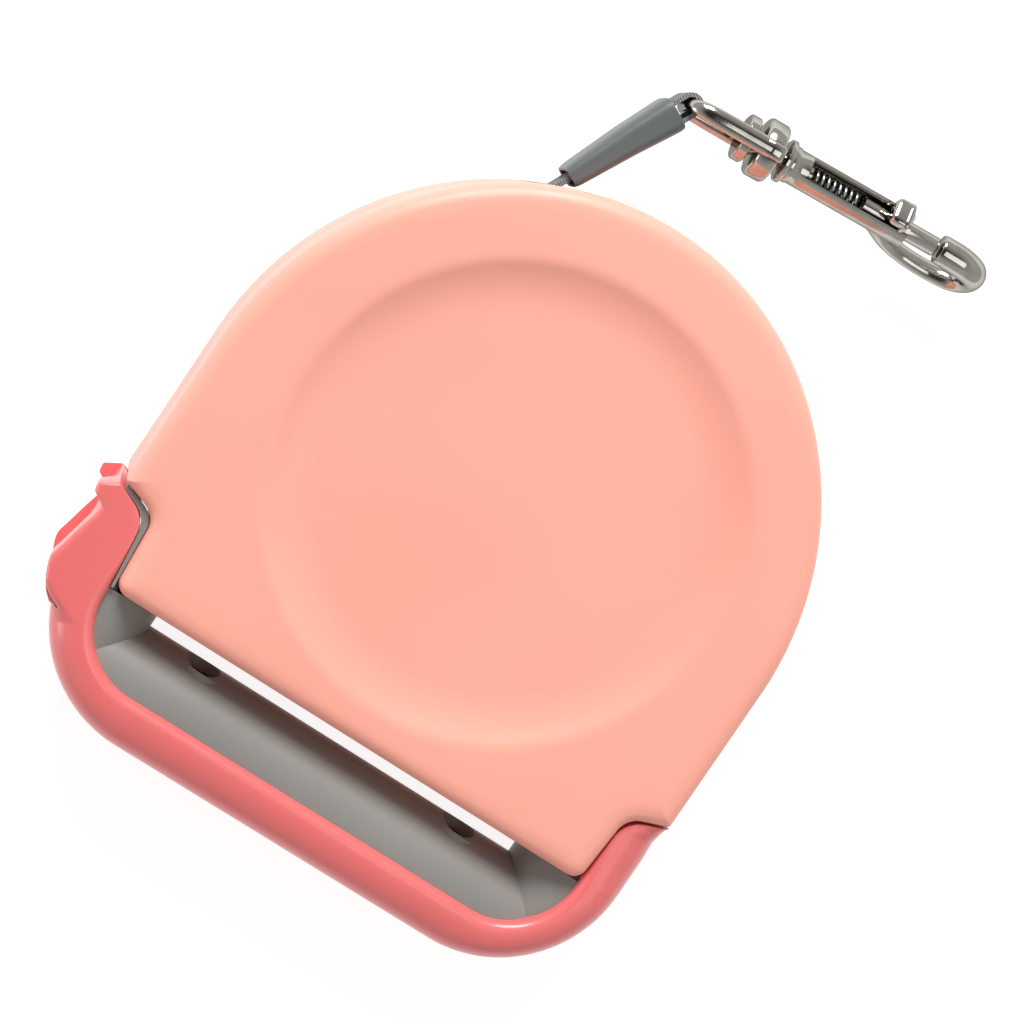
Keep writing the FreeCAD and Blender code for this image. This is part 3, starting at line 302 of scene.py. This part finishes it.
def rounded(corners, radii, spacing=1.6):
    """Open line through corners, each inner corner rounded by its radius, runs divided evenly."""
    line = [Vector(corners[0])]
    for index in range(1, len(corners) - 1):
        corner = Vector(corners[index])
        before = (Vector(corners[index - 1]) - corner).normalized()
        after = (Vector(corners[index + 1]) - corner).normalized()
        half = before.angle(after) / 2
        radius = radii[index - 1]
        reach = radius / math.tan(half)
        middle = corner + (before + after).normalized() * (radius / math.sin(half))
        first = corner + before * reach
        last = corner + after * reach
        for step in range(9):
            chord = first.lerp(last, step / 8)
            line.append(middle + (chord - middle).normalized() * radius)
    line.append(Vector(corners[-1]))
    dense = [line[0]]
    for here, there in zip(line, line[1:]):
        pieces = max(1, int((there - here).length / spacing))
        dense += [here.lerp(there, (step + 1) / pieces) for step in range(pieces)]
    return [tuple(point) for point in dense]


# ---------------------------------------------------------------- housing covers
SIDE_Y = 36.2
NOTCH = (55.6, 39.3)
BOTTOM = (54.5, 55.2)
EDGE_ROUND = 3.0
WALL = 2.3
DISH_DEPTH = 2.4
DISH_FLOOR, DISH_STEEP, DISH_LIP = 37.5, 46.6, 49.2
FLAT_FROM = 51.0


def housing_outline():
    """Round top, straight sides, a shouldered notch for each handle arm, rounded lower corners."""
    side, down = SHOULDER
    turn = math.degrees(math.atan2(down, side))
    wide = HOUSING_RADIUS + math.hypot(side, down)
    top = arc((-side, -down), wide, 0, turn, 54)
    top += arc((0, 0), HOUSING_RADIUS, turn, 180 - turn, 74)[1:]
    top += arc((side, -down), wide, 180 - turn, 180, 54)[1:]
    x = SIDE_X
    lower = rounded([(-x, -down), (-x, -SIDE_Y), (-NOTCH[0], -NOTCH[1]), (-BOTTOM[0], -BOTTOM[1]),
                     (BOTTOM[0], -BOTTOM[1]), (NOTCH[0], -NOTCH[1]), (x, -SIDE_Y), (x, -down)],
                    [0.8, 4.6, 3.0, 3.0, 4.6, 0.8])
    return np.array(top + lower[1:-1])


def edge_distance(points, outline):
    """Distance of each point from a closed outline."""
    best = np.full(len(points), 1e9)
    for start, end in zip(outline, np.roll(outline, -1, axis=0)):
        run = end - start
        share = np.clip(((points - start) @ run) / max(run @ run, 1e-12), 0, 1)
        gap = np.hypot(*(points - start - share[:, None] * run).T)
        best = np.minimum(best, gap)
    return best


def dish_height(radius):
    """Depth of the round dish: flat floor, a long hollow curve up, a short rounded lip."""
    hollow = (DISH_STEEP - DISH_FLOOR) ** 2
    lip = (DISH_LIP - DISH_STEEP) * (DISH_STEEP - DISH_FLOOR)
    scale = DISH_DEPTH / (hollow + lip)
    rise = np.where(radius < DISH_FLOOR, 0, np.minimum(radius, DISH_STEEP) - DISH_FLOOR) ** 2
    over = np.clip(DISH_LIP - np.maximum(radius, DISH_STEEP), 0, None)
    upper = lip - (over ** 2) * (DISH_STEEP - DISH_FLOOR) / (DISH_LIP - DISH_STEEP)
    upper = np.where(radius > DISH_STEEP, upper, 0)
    return -DISH_DEPTH + scale * (rise + upper)


def cover_points():
    """Rows from the middle of the outer face, over the rim, down the wall and back along the inside."""
    outline = housing_outline()
    reach = np.hypot(*outline.T)
    heading = outline / reach[:, None]
    rows = []
    inner_radii = [0.5, 8, 16, 24, 31, 35] + list(np.linspace(DISH_FLOOR, FLAT_FROM, 28))
    for radius in inner_radii:
        rows.append((heading * radius, THICKNESS + dish_height(np.full(len(outline), radius))))
    for step in (0.25, 0.5, 0.72, 0.86, 0.93, 0.965, 0.98, 0.99, 0.996, 1.0):
        flat = heading * (FLAT_FROM + (reach - FLAT_FROM) * step)[:, None]
        depth = np.clip(EDGE_ROUND - edge_distance(flat, outline), 0, EDGE_ROUND)
        rows.append((flat, THICKNESS - EDGE_ROUND + np.sqrt(EDGE_ROUND ** 2 - depth ** 2)))
    seam = SPLIT_Z + 0.12
    for z, inset in ((24.0, 0), (seam + 0.5, 0), (seam + 0.25, 0.08), (seam, 0.35), (seam, WALL)):
        rows.append((heading * (reach - inset)[:, None], np.full(len(outline), z)))
    ceiling = THICKNESS - DISH_DEPTH - 2.2
    for share in (1.0, 0.5, 0.01):
        rows.append((heading * ((reach - WALL) * share)[:, None], np.full(len(outline), ceiling)))
    points = []
    for flat, heights in rows:
        for (x, y), z in zip(flat, heights):
            points.append((x, y, z))
    faces = rows_to_faces(len(rows), len(outline))
    last = (len(rows) - 1) * len(outline)
    faces.append(tuple(range(len(outline))))
    faces.append(tuple(range(last, last + len(outline))))
    return points, faces


TAPE_LEAN = 25.0
TAPE_LINE = 47.1
lean = math.radians(TAPE_LEAN)
ALONG = Vector((math.sin(lean), math.cos(lean)))
ACROSS = Vector((-ALONG.y, ALONG.x))


def on_tape(distance, side=0.0):
    """Plan position a distance along the straight tape from where it leaves the reel."""
    return ACROSS * (TAPE_LINE + side) + ALONG * distance


EXIT_AT = 41.3
EXIT_WINDOW = (12.0, 7.0, 15.0)
LEVER_WINDOW = (8.0, 16.6, 5.2)


def exit_cutter():
    """Window in the wall for the tape's exit guide."""
    centre = on_tape(EXIT_AT)
    return box_mesh((centre.x, centre.y, SPLIT_Z), EXIT_WINDOW, 90 - TAPE_LEAN)


def lever_cutter():
    """Window in the wall for the brake lever's foot."""
    return box_mesh((-54.5, -44.8, SPLIT_Z), LEVER_WINDOW)


add_piece("front_cover_skin", *cover_points(), "housing_pink", "housing", ["front_cover"], 50.0,
          [exit_cutter(), lever_cutter()])


# ---------------------------------------------------------------- handle
HANDLE_X, HANDLE_Y = 64.8, 82.0
HANDLE_CORNER = 28.0
GRIP_X, GRIP_Y = 55.1, 71.7
GRIP_CORNER = 15.0
ARM_TOP_X = 64.2
HANDLE_HIGH = 30.0
ARM_GAP = 0.35
OUTER_ROUND = 6.5
# the button's arm stands further from the housing, sideways and down
BUTTON_ARM_SPARE, BUTTON_ARM_DROP = 1.3, 0.9
GASKET_LOW, GASKET_HIGH = 28.75, 29.3

BUTTON_TOP, BUTTON_BOTTOM = -37.3, -64.0
BUTTON_LOW, BUTTON_HIGH = 3.4, 28.6
# side profile of the thumb button, from its head down: distance beyond the handle's side, and y
BUTTON_KNOTS = [(-0.1, BUTTON_TOP), (3.2, BUTTON_TOP - 2.0), (3.0, BUTTON_TOP - 3.9),
                (0.65, BUTTON_TOP - 5.3), (0.4, BUTTON_TOP - 7.0), (1.45, BUTTON_TOP - 11.2),
                (2.5, BUTTON_TOP - 15.9), (3.1, BUTTON_TOP - 19.0), (2.1, BUTTON_TOP - 22.0),
                (0.5, BUTTON_TOP - 24.8), (-1.4, BUTTON_BOTTOM)]


def smooth_line(knots, count):
    """Catmull-Rom line through the knots."""
    padded = [2 * knots[0] - knots[1]] + knots + [2 * knots[-1] - knots[-2]]
    line = []
    for a, b, c, d in zip(padded, padded[1:], padded[2:], padded[3:]):
        for step in range(count):
            t = step / count
            line.append(0.5 * (2 * b + (c - a) * t + (2 * a - 5 * b + 4 * c - d) * t * t
                               + (3 * b - a - 3 * c + d) * t ** 3))
    line.append(knots[-1])
    return line


def button_side():
    """The button's outer line: straight head, hollow for the thumb, long swell, rounded lower end."""
    knots = [Vector((HANDLE_X + out, y)) for out, y in BUTTON_KNOTS]
    return knots[:2] + smooth_line(knots[2:], 6)


def cheek_x(y):
    """Reach of the handle's cheek beside the button at a height y, or None outside it."""
    line = button_side()
    for here, there in zip(line, line[1:]):
        if there.y <= y <= here.y:
            share = (here.y - y) / max(here.y - there.y, 1e-6)
            return here.x + (there.x - here.x) * share
    return None


def handle_lines(with_button):
    """Points down one arm to the middle of the bar: outer line, inner line, inner and outer rounds."""
    spare, drop = (BUTTON_ARM_SPARE, BUTTON_ARM_DROP) if with_button else (0.0, 0.0)
    top = -SIDE_Y - ARM_GAP - drop
    bend_y = -HANDLE_Y + HANDLE_CORNER
    inner = rounded([(ARM_TOP_X - 0.3, top - 0.1), (NOTCH[0] + 0.1 + spare, -NOTCH[1] - ARM_GAP - drop),
                     (GRIP_X + 0.1, -BOTTOM[1] - 0.4)], [6.0], 0.5)
    count = len(inner)
    shares = [i / (count - 1) for i in range(count)]
    start_x = ARM_TOP_X - 0.2
    outer = []
    for share in shares:
        x = start_x + (HANDLE_X - start_x) * min(1.0, 1.6 * share)
        outer.append((x, top + (bend_y - top) * share ** 1.4))
    edge = [0.5 + 1.5 * max(0, (share - 0.55) / 0.45) for share in shares]
    inner += arc((GRIP_X - GRIP_CORNER, -GRIP_Y + GRIP_CORNER), GRIP_CORNER, 0, -90, 61)
    outer += arc((HANDLE_X - HANDLE_CORNER, bend_y), HANDLE_CORNER, 0, -90, 61)
    edge += [2.0] * 61
    for step in range(1, 13):
        inner.append(((GRIP_X - GRIP_CORNER) * (1 - step / 12), -GRIP_Y))
        outer.append(((HANDLE_X - HANDLE_CORNER) * (1 - step / 12), -HANDLE_Y))
        edge.append(2.0)
    rounds = [min(OUTER_ROUND, 1.2 + 14.0 * index / count) for index in range(len(outer))]
    if with_button:
        for index, (x, y) in enumerate(outer):
            reach = cheek_x(y)
            if reach is not None and x > HANDLE_X - 5:
                outer[index] = (reach, y)
                rounds[index] = 0.9
        windows = [rounds[max(0, i - 4):i + 5] for i in range(len(rounds))]
        rounds = [sum(window) / len(window) for window in windows]
    return outer, inner, edge, rounds


def handle_section(width, inner_round, outer_round, height):
    """Half section above the split: inner wall, rounded inner edge, face that falls to the outer side."""
    inner_round = min(inner_round, width * 0.4)
    share = outer_round / OUTER_ROUND
    wide = min(max(outer_round, share * (width - inner_round - 0.8)), width * 0.8)
    deep = min(outer_round, height - 2)
    points = [(0.35, 0.1), (0.1, 0.35), (0.0, 0.6), (0.0, height - inner_round - 1.0)]
    for step in range(7):
        a = math.radians(15 * step)
        points.append((inner_round * (1 - math.cos(a)), height - inner_round * (1 - math.sin(a))))
    flat = width - inner_round - wide
    for step in range(1, 4):
        points.append((inner_round + flat * step / 4, height))
    for step in range(15):
        a = math.radians(90 - 90 / 14 * step)
        points.append((width - wide * (1 - math.cos(a)), height - deep * (1 - math.sin(a))))
    return points + [(width, 0.6), (width - 0.1, 0.35), (width - 0.35, 0.1)]


def handle_points(front):
    right = handle_lines(False)
    left = handle_lines(True)
    outer = [(-x, y) for x, y in left[0]] + list(reversed(right[0]))[1:]
    inner = [(-x, y) for x, y in left[1]] + list(reversed(right[1]))[1:]
    edge = left[2] + list(reversed(right[2]))[1:]
    rounds = left[3] + list(reversed(right[3]))[1:]
    points = []
    for (ox, oy), (ix, iy), inner_round, outer_round in zip(outer, inner, edge, rounds):
        run = Vector((ox - ix, oy - iy))
        width = max(run.length, 0.05)
        aim = run / width
        for u, z in handle_section(width, inner_round, outer_round, HANDLE_HIGH - SPLIT_Z):
            height = SPLIT_Z + z if front else SPLIT_Z - z
            points.append((ix + aim.x * u, iy + aim.y * u, height))
    columns = len(points) // len(outer)
    faces = rows_to_faces(len(outer), columns)
    faces.append(tuple(range(columns)))
    faces.append(tuple(range(len(points) - columns, len(points))))
    return points, faces


def button_cutter():
    """Space for the button between the two cheeks of the left arm."""
    return box_mesh((-63.8, (BUTTON_TOP + BUTTON_BOTTOM) / 2 + 0.6, SPLIT_Z), (11.2, 28.2, 25.8))


def foot_cutter():
    """Window in the arm for the button's foot."""
    return box_mesh((-56.5, -48.8, SPLIT_Z), (6.0, 9.0, 5.2))


def spring_cutter():
    """Window in the arm for the button's spring."""
    return box_mesh((-56.5, -46.5, 23.0), (6.0, 5.6, 5.6))


for front, name in ((True, "front"), (False, "rear")):
    cutters = [button_cutter(), foot_cutter()]
    if front:
        cutters.append(spring_cutter())
    handle_mesh = handle_points(front)
    add_piece("handle_%s_skin" % name, *handle_mesh, "handle_coral", "housing",
              ["handle_%s_shell" % name], 45.0, cutters)


def add_arm_gasket():
    """Grey strip that fills the gap between the housing and the button's arm."""
    wall = rounded([(-SIDE_X + 1.0, -SIDE_Y - 0.5), (-NOTCH[0] - 0.15, -NOTCH[1] - 0.2),
                    (-BOTTOM[0] - 0.15, -BOTTOM[1] + 0.2)], [4.6], 0.6)
    line = handle_lines(True)[1]
    points = []
    for x, y in wall:
        near = min(line, key=lambda point: math.hypot(point[0] + x, point[1] - y))
        arm = Vector((-near[0], near[1]))
        far = arm + (Vector((x, y)) - arm) * 0.12
        points += [(x, y, GASKET_HIGH), (far.x, far.y, GASKET_HIGH), (far.x, far.y, GASKET_LOW),
                   (x, y, GASKET_LOW)]
    faces = rows_to_faces(len(wall), 4) + [(0, 1, 2, 3), tuple(range(len(points) - 4, len(points)))]
    add_piece("arm_gasket", points, faces, "liner_grey", "housing")


add_arm_gasket()


def add_liner_shoulder(side):
    """Top of the liner's side wall, tucked between the arm and the housing's lower corner."""
    points = []
    line = [(GRIP_X - 0.2, -58.5), (GRIP_X - 0.9, -56.9), (GRIP_X - 1.5, -55.6), (GRIP_X - 0.5, -53.3)]
    for z in (5.0, 12.0, 20.0, 26.6):
        bulge = 1.0 - ((z - SPLIT_Z) / 12.0) ** 2
        for index, (x, y) in enumerate(line):
            points.append((side * (x - bulge * 0.25 * (3 - index)), y, z))
    for z in (26.6, 20.0, 12.0, 5.0):
        for x, y in line:
            points.append((side * (GRIP_X + 0.3), y, z))
    faces = rows_to_faces(8, 4, closed=False)
    faces.append((28, 29, 30, 31, 3, 2, 1, 0))
    faces.append((0, 4, 8, 12, 16, 20, 24, 28))
    faces.append((31, 27, 23, 19, 15, 11, 7, 3))
    name = "liner_shoulder_right" if side > 0 else "liner_shoulder_left"
    add_piece(name, points, faces, "liner_grey", "housing")


for side in (1, -1):
    add_liner_shoulder(side)


# ---------------------------------------------------------------- thumb button
def add_button():
    """Button body between the cheeks, its edges softened."""
    back = -HANDLE_X + 4.0
    profile = [(back, BUTTON_TOP - 1.8)] + [(-point.x, point.y) for point in button_side()]
    profile.append((back, BUTTON_BOTTOM))
    count = len(profile)
    levels = [(0.0, 0.0), (0.06, 0.05), (0.4, 0.2), (0.6, 0.5), (0.74, 0.92), (0.8, 1.0), (1.0, 1.0)]
    points = []
    for share, fullness in levels:
        z = BUTTON_LOW + (BUTTON_HIGH - BUTTON_LOW) * share
        for x, y in profile:
            beyond = min(0.0, x + HANDLE_X)
            points.append((x - beyond * (1 - fullness), y, z))
    faces = rows_to_faces(len(levels), count)
    faces += [tuple(range(count)), tuple(range(len(points) - count, len(points)))]
    button = add_piece("brake_button_skin", points, faces, "handle_coral", "button", ["brake_button"])
    bevel = button.modifiers.new("soft_edges", "BEVEL")
    bevel.width = 0.7 * MM
    bevel.segments = 3
    bevel.angle_limit = math.radians(35)
    apply_modifiers(button)
    finish_mesh(button, 35.0)


add_button()


# ---------------------------------------------------------------- sleeve on the tape's end
SLEEVE_FROM, SLEEVE_LENGTH = 43.2, 24.4
SLEEVE_THIN, SLEEVE_THICK, SLEEVE_WIDTH = 4.7, 7.5, 12.4


def sleeve_ring(half_thick, half_width, distance, shift=0.0, count=48):
    """Rounded rectangle round the tape, upright to it."""
    ring = []
    for step in range(count):
        a = 2 * math.pi * step / count
        side = half_thick * math.copysign(abs(math.cos(a)) ** 0.6, math.cos(a)) + shift
        up = half_width * math.copysign(abs(math.sin(a)) ** 0.42, math.sin(a))
        flat = on_tape(distance, side)
        ring.append((flat.x, flat.y, SPLIT_Z + up))
    return ring


def add_sleeve():
    """Moulded sleeve: swells towards the hook, thin lips at both mouths, hollow ends."""
    stations = [(0.0, 0.90), (0.04, 0.985), (0.1, 1.0), (0.55, 1.0), (0.93, 1.0), (0.975, 0.985),
                (1.0, 0.93)]
    rows = []
    for share, fullness in stations:
        swell = SLEEVE_THIN + (SLEEVE_THICK - SLEEVE_THIN) * (share ** 0.9)
        bow = 0.22 * math.sin(math.pi * share)
        rows.append(sleeve_ring(swell / 2 * fullness, SLEEVE_WIDTH / 2 * (0.97 + 0.03 * fullness),
                                SLEEVE_FROM + SLEEVE_LENGTH * share, bow))
    lip_near = sleeve_ring(SLEEVE_THIN / 2 - 0.75, SLEEVE_WIDTH / 2 - 0.9, SLEEVE_FROM + 0.05)
    deep_near = sleeve_ring(0.75, SLEEVE_WIDTH / 2 - 1.0, SLEEVE_FROM + 3.0)
    lip_far = sleeve_ring(SLEEVE_THICK / 2 - 0.9, SLEEVE_WIDTH / 2 - 0.95,
                          SLEEVE_FROM + SLEEVE_LENGTH - 0.05)
    deep_far = sleeve_ring(2.5, SLEEVE_WIDTH / 2 - 1.0, SLEEVE_FROM + SLEEVE_LENGTH - 8.0)
    rows = [deep_near, lip_near] + rows + [lip_far, deep_far]
    points = [point for row in rows for point in row]
    count = len(rows[0])
    faces = rows_to_faces(len(rows), count)
    faces += [tuple(range(count)), tuple(range(len(points) - count, len(points)))]
    add_piece("leash_sleeve_skin", points, faces, "sleeve_grey", "leash_end", ["leash_sleeve"], 50.0)


add_sleeve()


# ---------------------------------------------------------------- swivel eye, hook and plunger
# Local axes: +X from the eye's end bar to the nose, +Z to the thumb knob's side, both tipped and turned
# by the hook's own angles.
EYE_AT = 70.8
HOOK_TURN = math.radians(5.5)
HOOK_ROLL = math.radians(-23.0)
BARREL_END, BARREL_RADIUS = 51.2, 3.7


def in_hook(points, roll=HOOK_ROLL):
    """Local points of the hook, in the modelling axes."""
    start = on_tape(EYE_AT)
    turn = Matrix.Rotation(HOOK_TURN, 3, "Z") @ Matrix.Rotation(roll, 3, "X")
    return [tuple(Vector((start.x, start.y, SPLIT_Z)) + turn @ Vector(point)) for point in points]


def sweep(path, count=28):
    """Tube along a path in the local XZ plane: each station is x, z, half depth and half width."""
    spots = [Vector((x, 0, z)) for x, z, _, _ in path]
    points = []
    for index, (x, z, deep, wide) in enumerate(path):
        before = spots[max(index - 1, 0)]
        after = spots[min(index + 1, len(spots) - 1)]
        run = (after - before).normalized()
        normal = Vector((-run.z, 0, run.x))
        for step in range(count):
            a = 2 * math.pi * step / count
            points.append(tuple(spots[index] + normal * deep * math.cos(a)
                                + Vector((0, 1, 0)) * wide * math.sin(a)))
    faces = rows_to_faces(len(path), count)
    faces += [tuple(range(count)), tuple(range(len(points) - count, len(points)))]
    return points, faces


def turned(profile, count=40):
    """Solid of revolution about local X: profile lists x and radius."""
    return sweep([(x, 0, radius, radius) for x, radius in profile], count)


def soft_block(centre, size, power=0.3, rows=13, count=28):
    """Box with generously rounded edges."""
    points = []
    for row in range(rows):
        b = math.pi * (row / (rows - 1) - 0.5)
        ring = abs(math.cos(b)) ** power + 1e-3
        x = math.copysign(abs(math.sin(b)) ** power, math.sin(b))
        for step in range(count):
            a = 2 * math.pi * step / count
            y = math.copysign(abs(math.cos(a)) ** power, math.cos(a)) * ring
            z = math.copysign(abs(math.sin(a)) ** power, math.sin(a)) * ring
            points.append((centre[0] + x * size[0] / 2, centre[1] + y * size[1] / 2,
                           centre[2] + z * size[2] / 2))
    faces = rows_to_faces(rows, count)
    faces += [tuple(range(count)), tuple(range(len(points) - count, len(points)))]
    return points, faces


def channel(start, end, outer, inner, opening_deg):
    """Barrel cut open along its top: a C section from start to end."""
    half = opening_deg / 2
    section = arc((0, 0), outer, 90 + half, 450 - half, 41)
    section += list(reversed(arc((0, 0), inner, 90 + half * 1.08, 450 - half * 1.08, 33)))
    points = [(x, y, z) for x in (start, start + 0.15, end - 0.15, end) for y, z in section]
    count = len(section)
    faces = rows_to_faces(4, count)
    faces += [tuple(range(count)), tuple(range(3 * count, 4 * count))]
    return points, faces


def smooth_path(stations, count=6):
    """Stations filled in with a smooth line through all their numbers."""
    return [tuple(station) for station in smooth_line([Vector(s) for s in stations], count)]


def joined(meshes):
    points, faces = [], []
    for part_points, part_faces in meshes:
        base = len(points)
        points += part_points
        faces += [tuple(base + corner for corner in face) for face in part_faces]
    return points, faces


def add_swivel_eye():
    """Rounded strap bent round the tape, closed by a block with its swivel boss."""
    side = [(17.5, 7.6, 1.15, 1.9), (12.0, 7.6, 1.15, 1.9), (6.0, 7.62, 1.15, 1.85), (3.0, 7.4, 1.15, 1.75),
            (0.9, 6.3, 1.12, 1.5), (0.05, 4.2, 1.1, 1.2), (0.0, 0.0, 1.1, 1.1)]
    other = [(x, -z, deep, wide) for x, z, deep, wide in reversed(side[:-1])]
    strap = sweep(smooth_path(side + other))
    yoke = soft_block((18.1, 0, 0), (5.6, 3.8, 17.4))
    boss = turned([(16.0, 5.3), (16.2, 5.9), (16.7, 6.25), (19.9, 6.25), (20.4, 5.9), (20.6, 5.3)])
    points, faces = joined([strap, yoke, boss])
    add_piece("swivel_eye_skin", in_hook(points, 0.0), faces, "hook_nickel", "eye", ["swivel_eye"], 50.0)


def add_hook():
    """Collar, barrel open along its top, and the hook that swings out and back to a blunt nose."""
    collar = turned([(22.0, 3.6), (22.05, 4.2), (22.3, 4.55), (23.2, 4.55), (23.5, 4.2), (23.55, 3.9)])
    neck = turned([(23.4, 3.9), (24.5, 3.9), (24.7, 3.7), (27.4, 3.7), (27.5, 3.4)])
    barrel = channel(27.3, BARREL_END, BARREL_RADIUS, 2.7, 84)
    lip = channel(50.0, BARREL_END - 0.01, BARREL_RADIUS - 0.01, 2.25, 40)
    stations = [(42.0, -2.3, 1.3, 1.9), (46.0, -4.4, 1.6, 2.0), (50.5, -7.7, 1.55, 2.0),
                (56.0, -9.6, 1.5, 2.0), (62.0, -10.0, 1.5, 2.1), (67.0, -8.9, 1.7, 2.3),
                (69.3, -5.6, 2.1, 2.6), (68.6, -2.0, 2.7, 3.0), (65.0, -0.2, 2.9, 3.2),
                (61.0, 0.2, 2.9, 3.2), (59.3, 0.2, 2.8, 3.1), (59.1, 0.2, 2.5, 2.7)]
    jaw = sweep(smooth_path(stations))
    points, faces = joined([collar, neck, barrel, lip, jaw])
    add_piece("hook_body_skin", in_hook(points), faces, "hook_nickel", "hook", ["hook_body"], 50.0)


def add_plunger():
    """Sliding bolt with a thumb knob on a short neck."""
    rod = turned([(40.6, 1.5), (40.8, 2.0), (58.2, 2.0), (58.5, 1.8), (58.6, 1.4)])
    neck = soft_block((47.7, 0, 2.6), (4.0, 2.8, 3.6))
    knob = soft_block((47.9, 0, 4.95), (4.4, 5.6, 2.8), 0.45)
    crest = soft_block((49.2, 0, 4.3), (1.5, 6.2, 4.2), 0.5)
    points, faces = joined([rod, neck, knob, crest])
    add_piece("hook_plunger_skin", in_hook(points), faces, "hook_nickel", "plunger", ["hook_plunger"], 50.0)


def add_plunger_spring():
    """Compression spring in the barrel, held at the collar's end; on the real hook it shortens as the bolt is
    drawn back, here it is built at one fixed length.
    """
    start, end, turns, radius, wire = 29.0, 40.1, 8, 1.7, 0.32
    forward = Vector((1, 0, 0))
    rise = end - start - 2 * wire
    points = []
    steps = turns * 16
    for step in range(steps + 1):
        a = 2 * math.pi * step / 16
        outward = Vector((0, math.cos(a), math.sin(a)))
        centre = forward * (start + wire + rise * step / steps) + outward * radius
        for corner in range(8):
            b = 2 * math.pi * corner / 8
            points.append(tuple(centre + outward * wire * math.cos(b) + forward * wire * math.sin(b)))
    faces = rows_to_faces(steps + 1, 8) + [tuple(range(8)), tuple(range(len(points) - 8, len(points)))]
    spring = add_piece("plunger_spring_skin", in_hook(points), faces, "steel", "hook", ["plunger_spring"],
                       60.0)
    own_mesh(spring)


add_swivel_eye()
add_hook()
add_plunger()
add_plunger_spring()


# ---------------------------------------------------------------- camera, floor and light
CAMERA_TILT = 11.9
CAMERA_HEADING = 163.0
CAMERA_ROLL = 34.4
CAMERA_DISTANCE = 480.0
CAMERA_TARGET = (1.2, -0.8, 30.0)
LENS = 87.047


def add_camera():
    """Camera at the photograph's angle; returns its right and up directions."""
    tilt, heading = math.radians(CAMERA_TILT), math.radians(CAMERA_HEADING)
    roll = math.radians(CAMERA_ROLL)
    away = Vector((math.sin(tilt) * math.cos(heading), math.sin(tilt) * math.sin(heading), math.cos(tilt)))
    right = (-away).cross(Vector((-math.sin(roll), math.cos(roll), 0))).normalized()
    up = away.cross(right)
    data = bpy.data.cameras.new("camera")
    data.lens = LENS
    data.sensor_width = 36
    data.clip_start = 0.01
    camera = bpy.data.objects.new("camera", data)
    turn = Matrix((right, up, away)).transposed().to_4x4()
    camera.matrix_world = Matrix.Translation(place(*CAMERA_TARGET) + away * CAMERA_DISTANCE * MM) @ turn
    bpy.context.scene.collection.objects.link(camera)
    bpy.context.scene.camera = camera
    return right, up


RIGHT, UPWARD = add_camera()


def add_floor():
    """Pale, evenly lit table under the object."""
    mesh = bpy.data.meshes.new("floor")
    size = 3.0
    mesh.from_pydata([(-size, -size, 0), (size, -size, 0), (size, size, 0), (-size, size, 0)], [],
                     [(0, 1, 2, 3)])
    floor = bpy.data.objects.new("floor", mesh)
    bpy.context.scene.collection.objects.link(floor)
    panel = moulded("light_table", (0.3, 0.3, 0.3), 0.9, spread=0.004, specular=0.1)
    glow = panel.node_tree.nodes["Principled BSDF"]
    glow.inputs["Emission Color"].default_value = (1, 1, 1, 1)
    glow.inputs["Emission Strength"].default_value = 0.85
    floor.data.materials.append(panel)


add_floor()


def add_softbox(name, position, size, power, aim=(0, 0, 0)):
    """Square area light, placed and aimed in metres."""
    data = bpy.data.lights.new(name, "AREA")
    data.shape = "RECTANGLE"
    data.size, data.size_y = size
    data.energy = power
    lamp = bpy.data.objects.new(name, data)
    bpy.context.scene.collection.objects.link(lamp)
    back = (Vector(position) - Vector(aim)).normalized()
    lamp.matrix_world = Matrix.Translation(position) @ back.to_track_quat("Z", "Y").to_matrix().to_4x4()


flat_up = Vector((UPWARD.x, UPWARD.y, 0)).normalized()
flat_right = Vector((RIGHT.x, RIGHT.y, 0)).normalized()
add_softbox("key", flat_up * 1.15 + flat_right * 0.2 + Vector((0, 0, 0.85)), (0.7, 0.5), 24.5)
add_softbox("fill", flat_right * 0.5 - flat_up * 0.3 + Vector((0, 0, 1.2)), (0.7, 0.7), 2.5)
add_softbox("rim", -flat_right * 1.2 + Vector((0, 0, 0.2)), (0.5, 0.4), 2.2)


def add_world():
    """Studio surround: dark overhead, bright towards the horizon."""
    world = bpy.data.worlds.new("studio")
    bpy.context.scene.world = world
    world.use_nodes = True
    nodes, links = world.node_tree.nodes, world.node_tree.links
    direction = nodes.new("ShaderNodeTexCoord")
    split = nodes.new("ShaderNodeSeparateXYZ")
    links.new(direction.outputs["Generated"], split.inputs["Vector"])
    tones = ramp(nodes, links, split.outputs["Z"], [(0.0, level(1.0)), (0.55, level(0.9)),
                                                    (0.8, level(0.5)), (0.93, level(0.1)),
                                                    (1.0, level(0.06))])
    links.new(tones, nodes["Background"].inputs["Color"])
    nodes["Background"].inputs["Strength"].default_value = 0.6


add_world()
bpy.context.scene.view_settings.view_transform = "Standard"
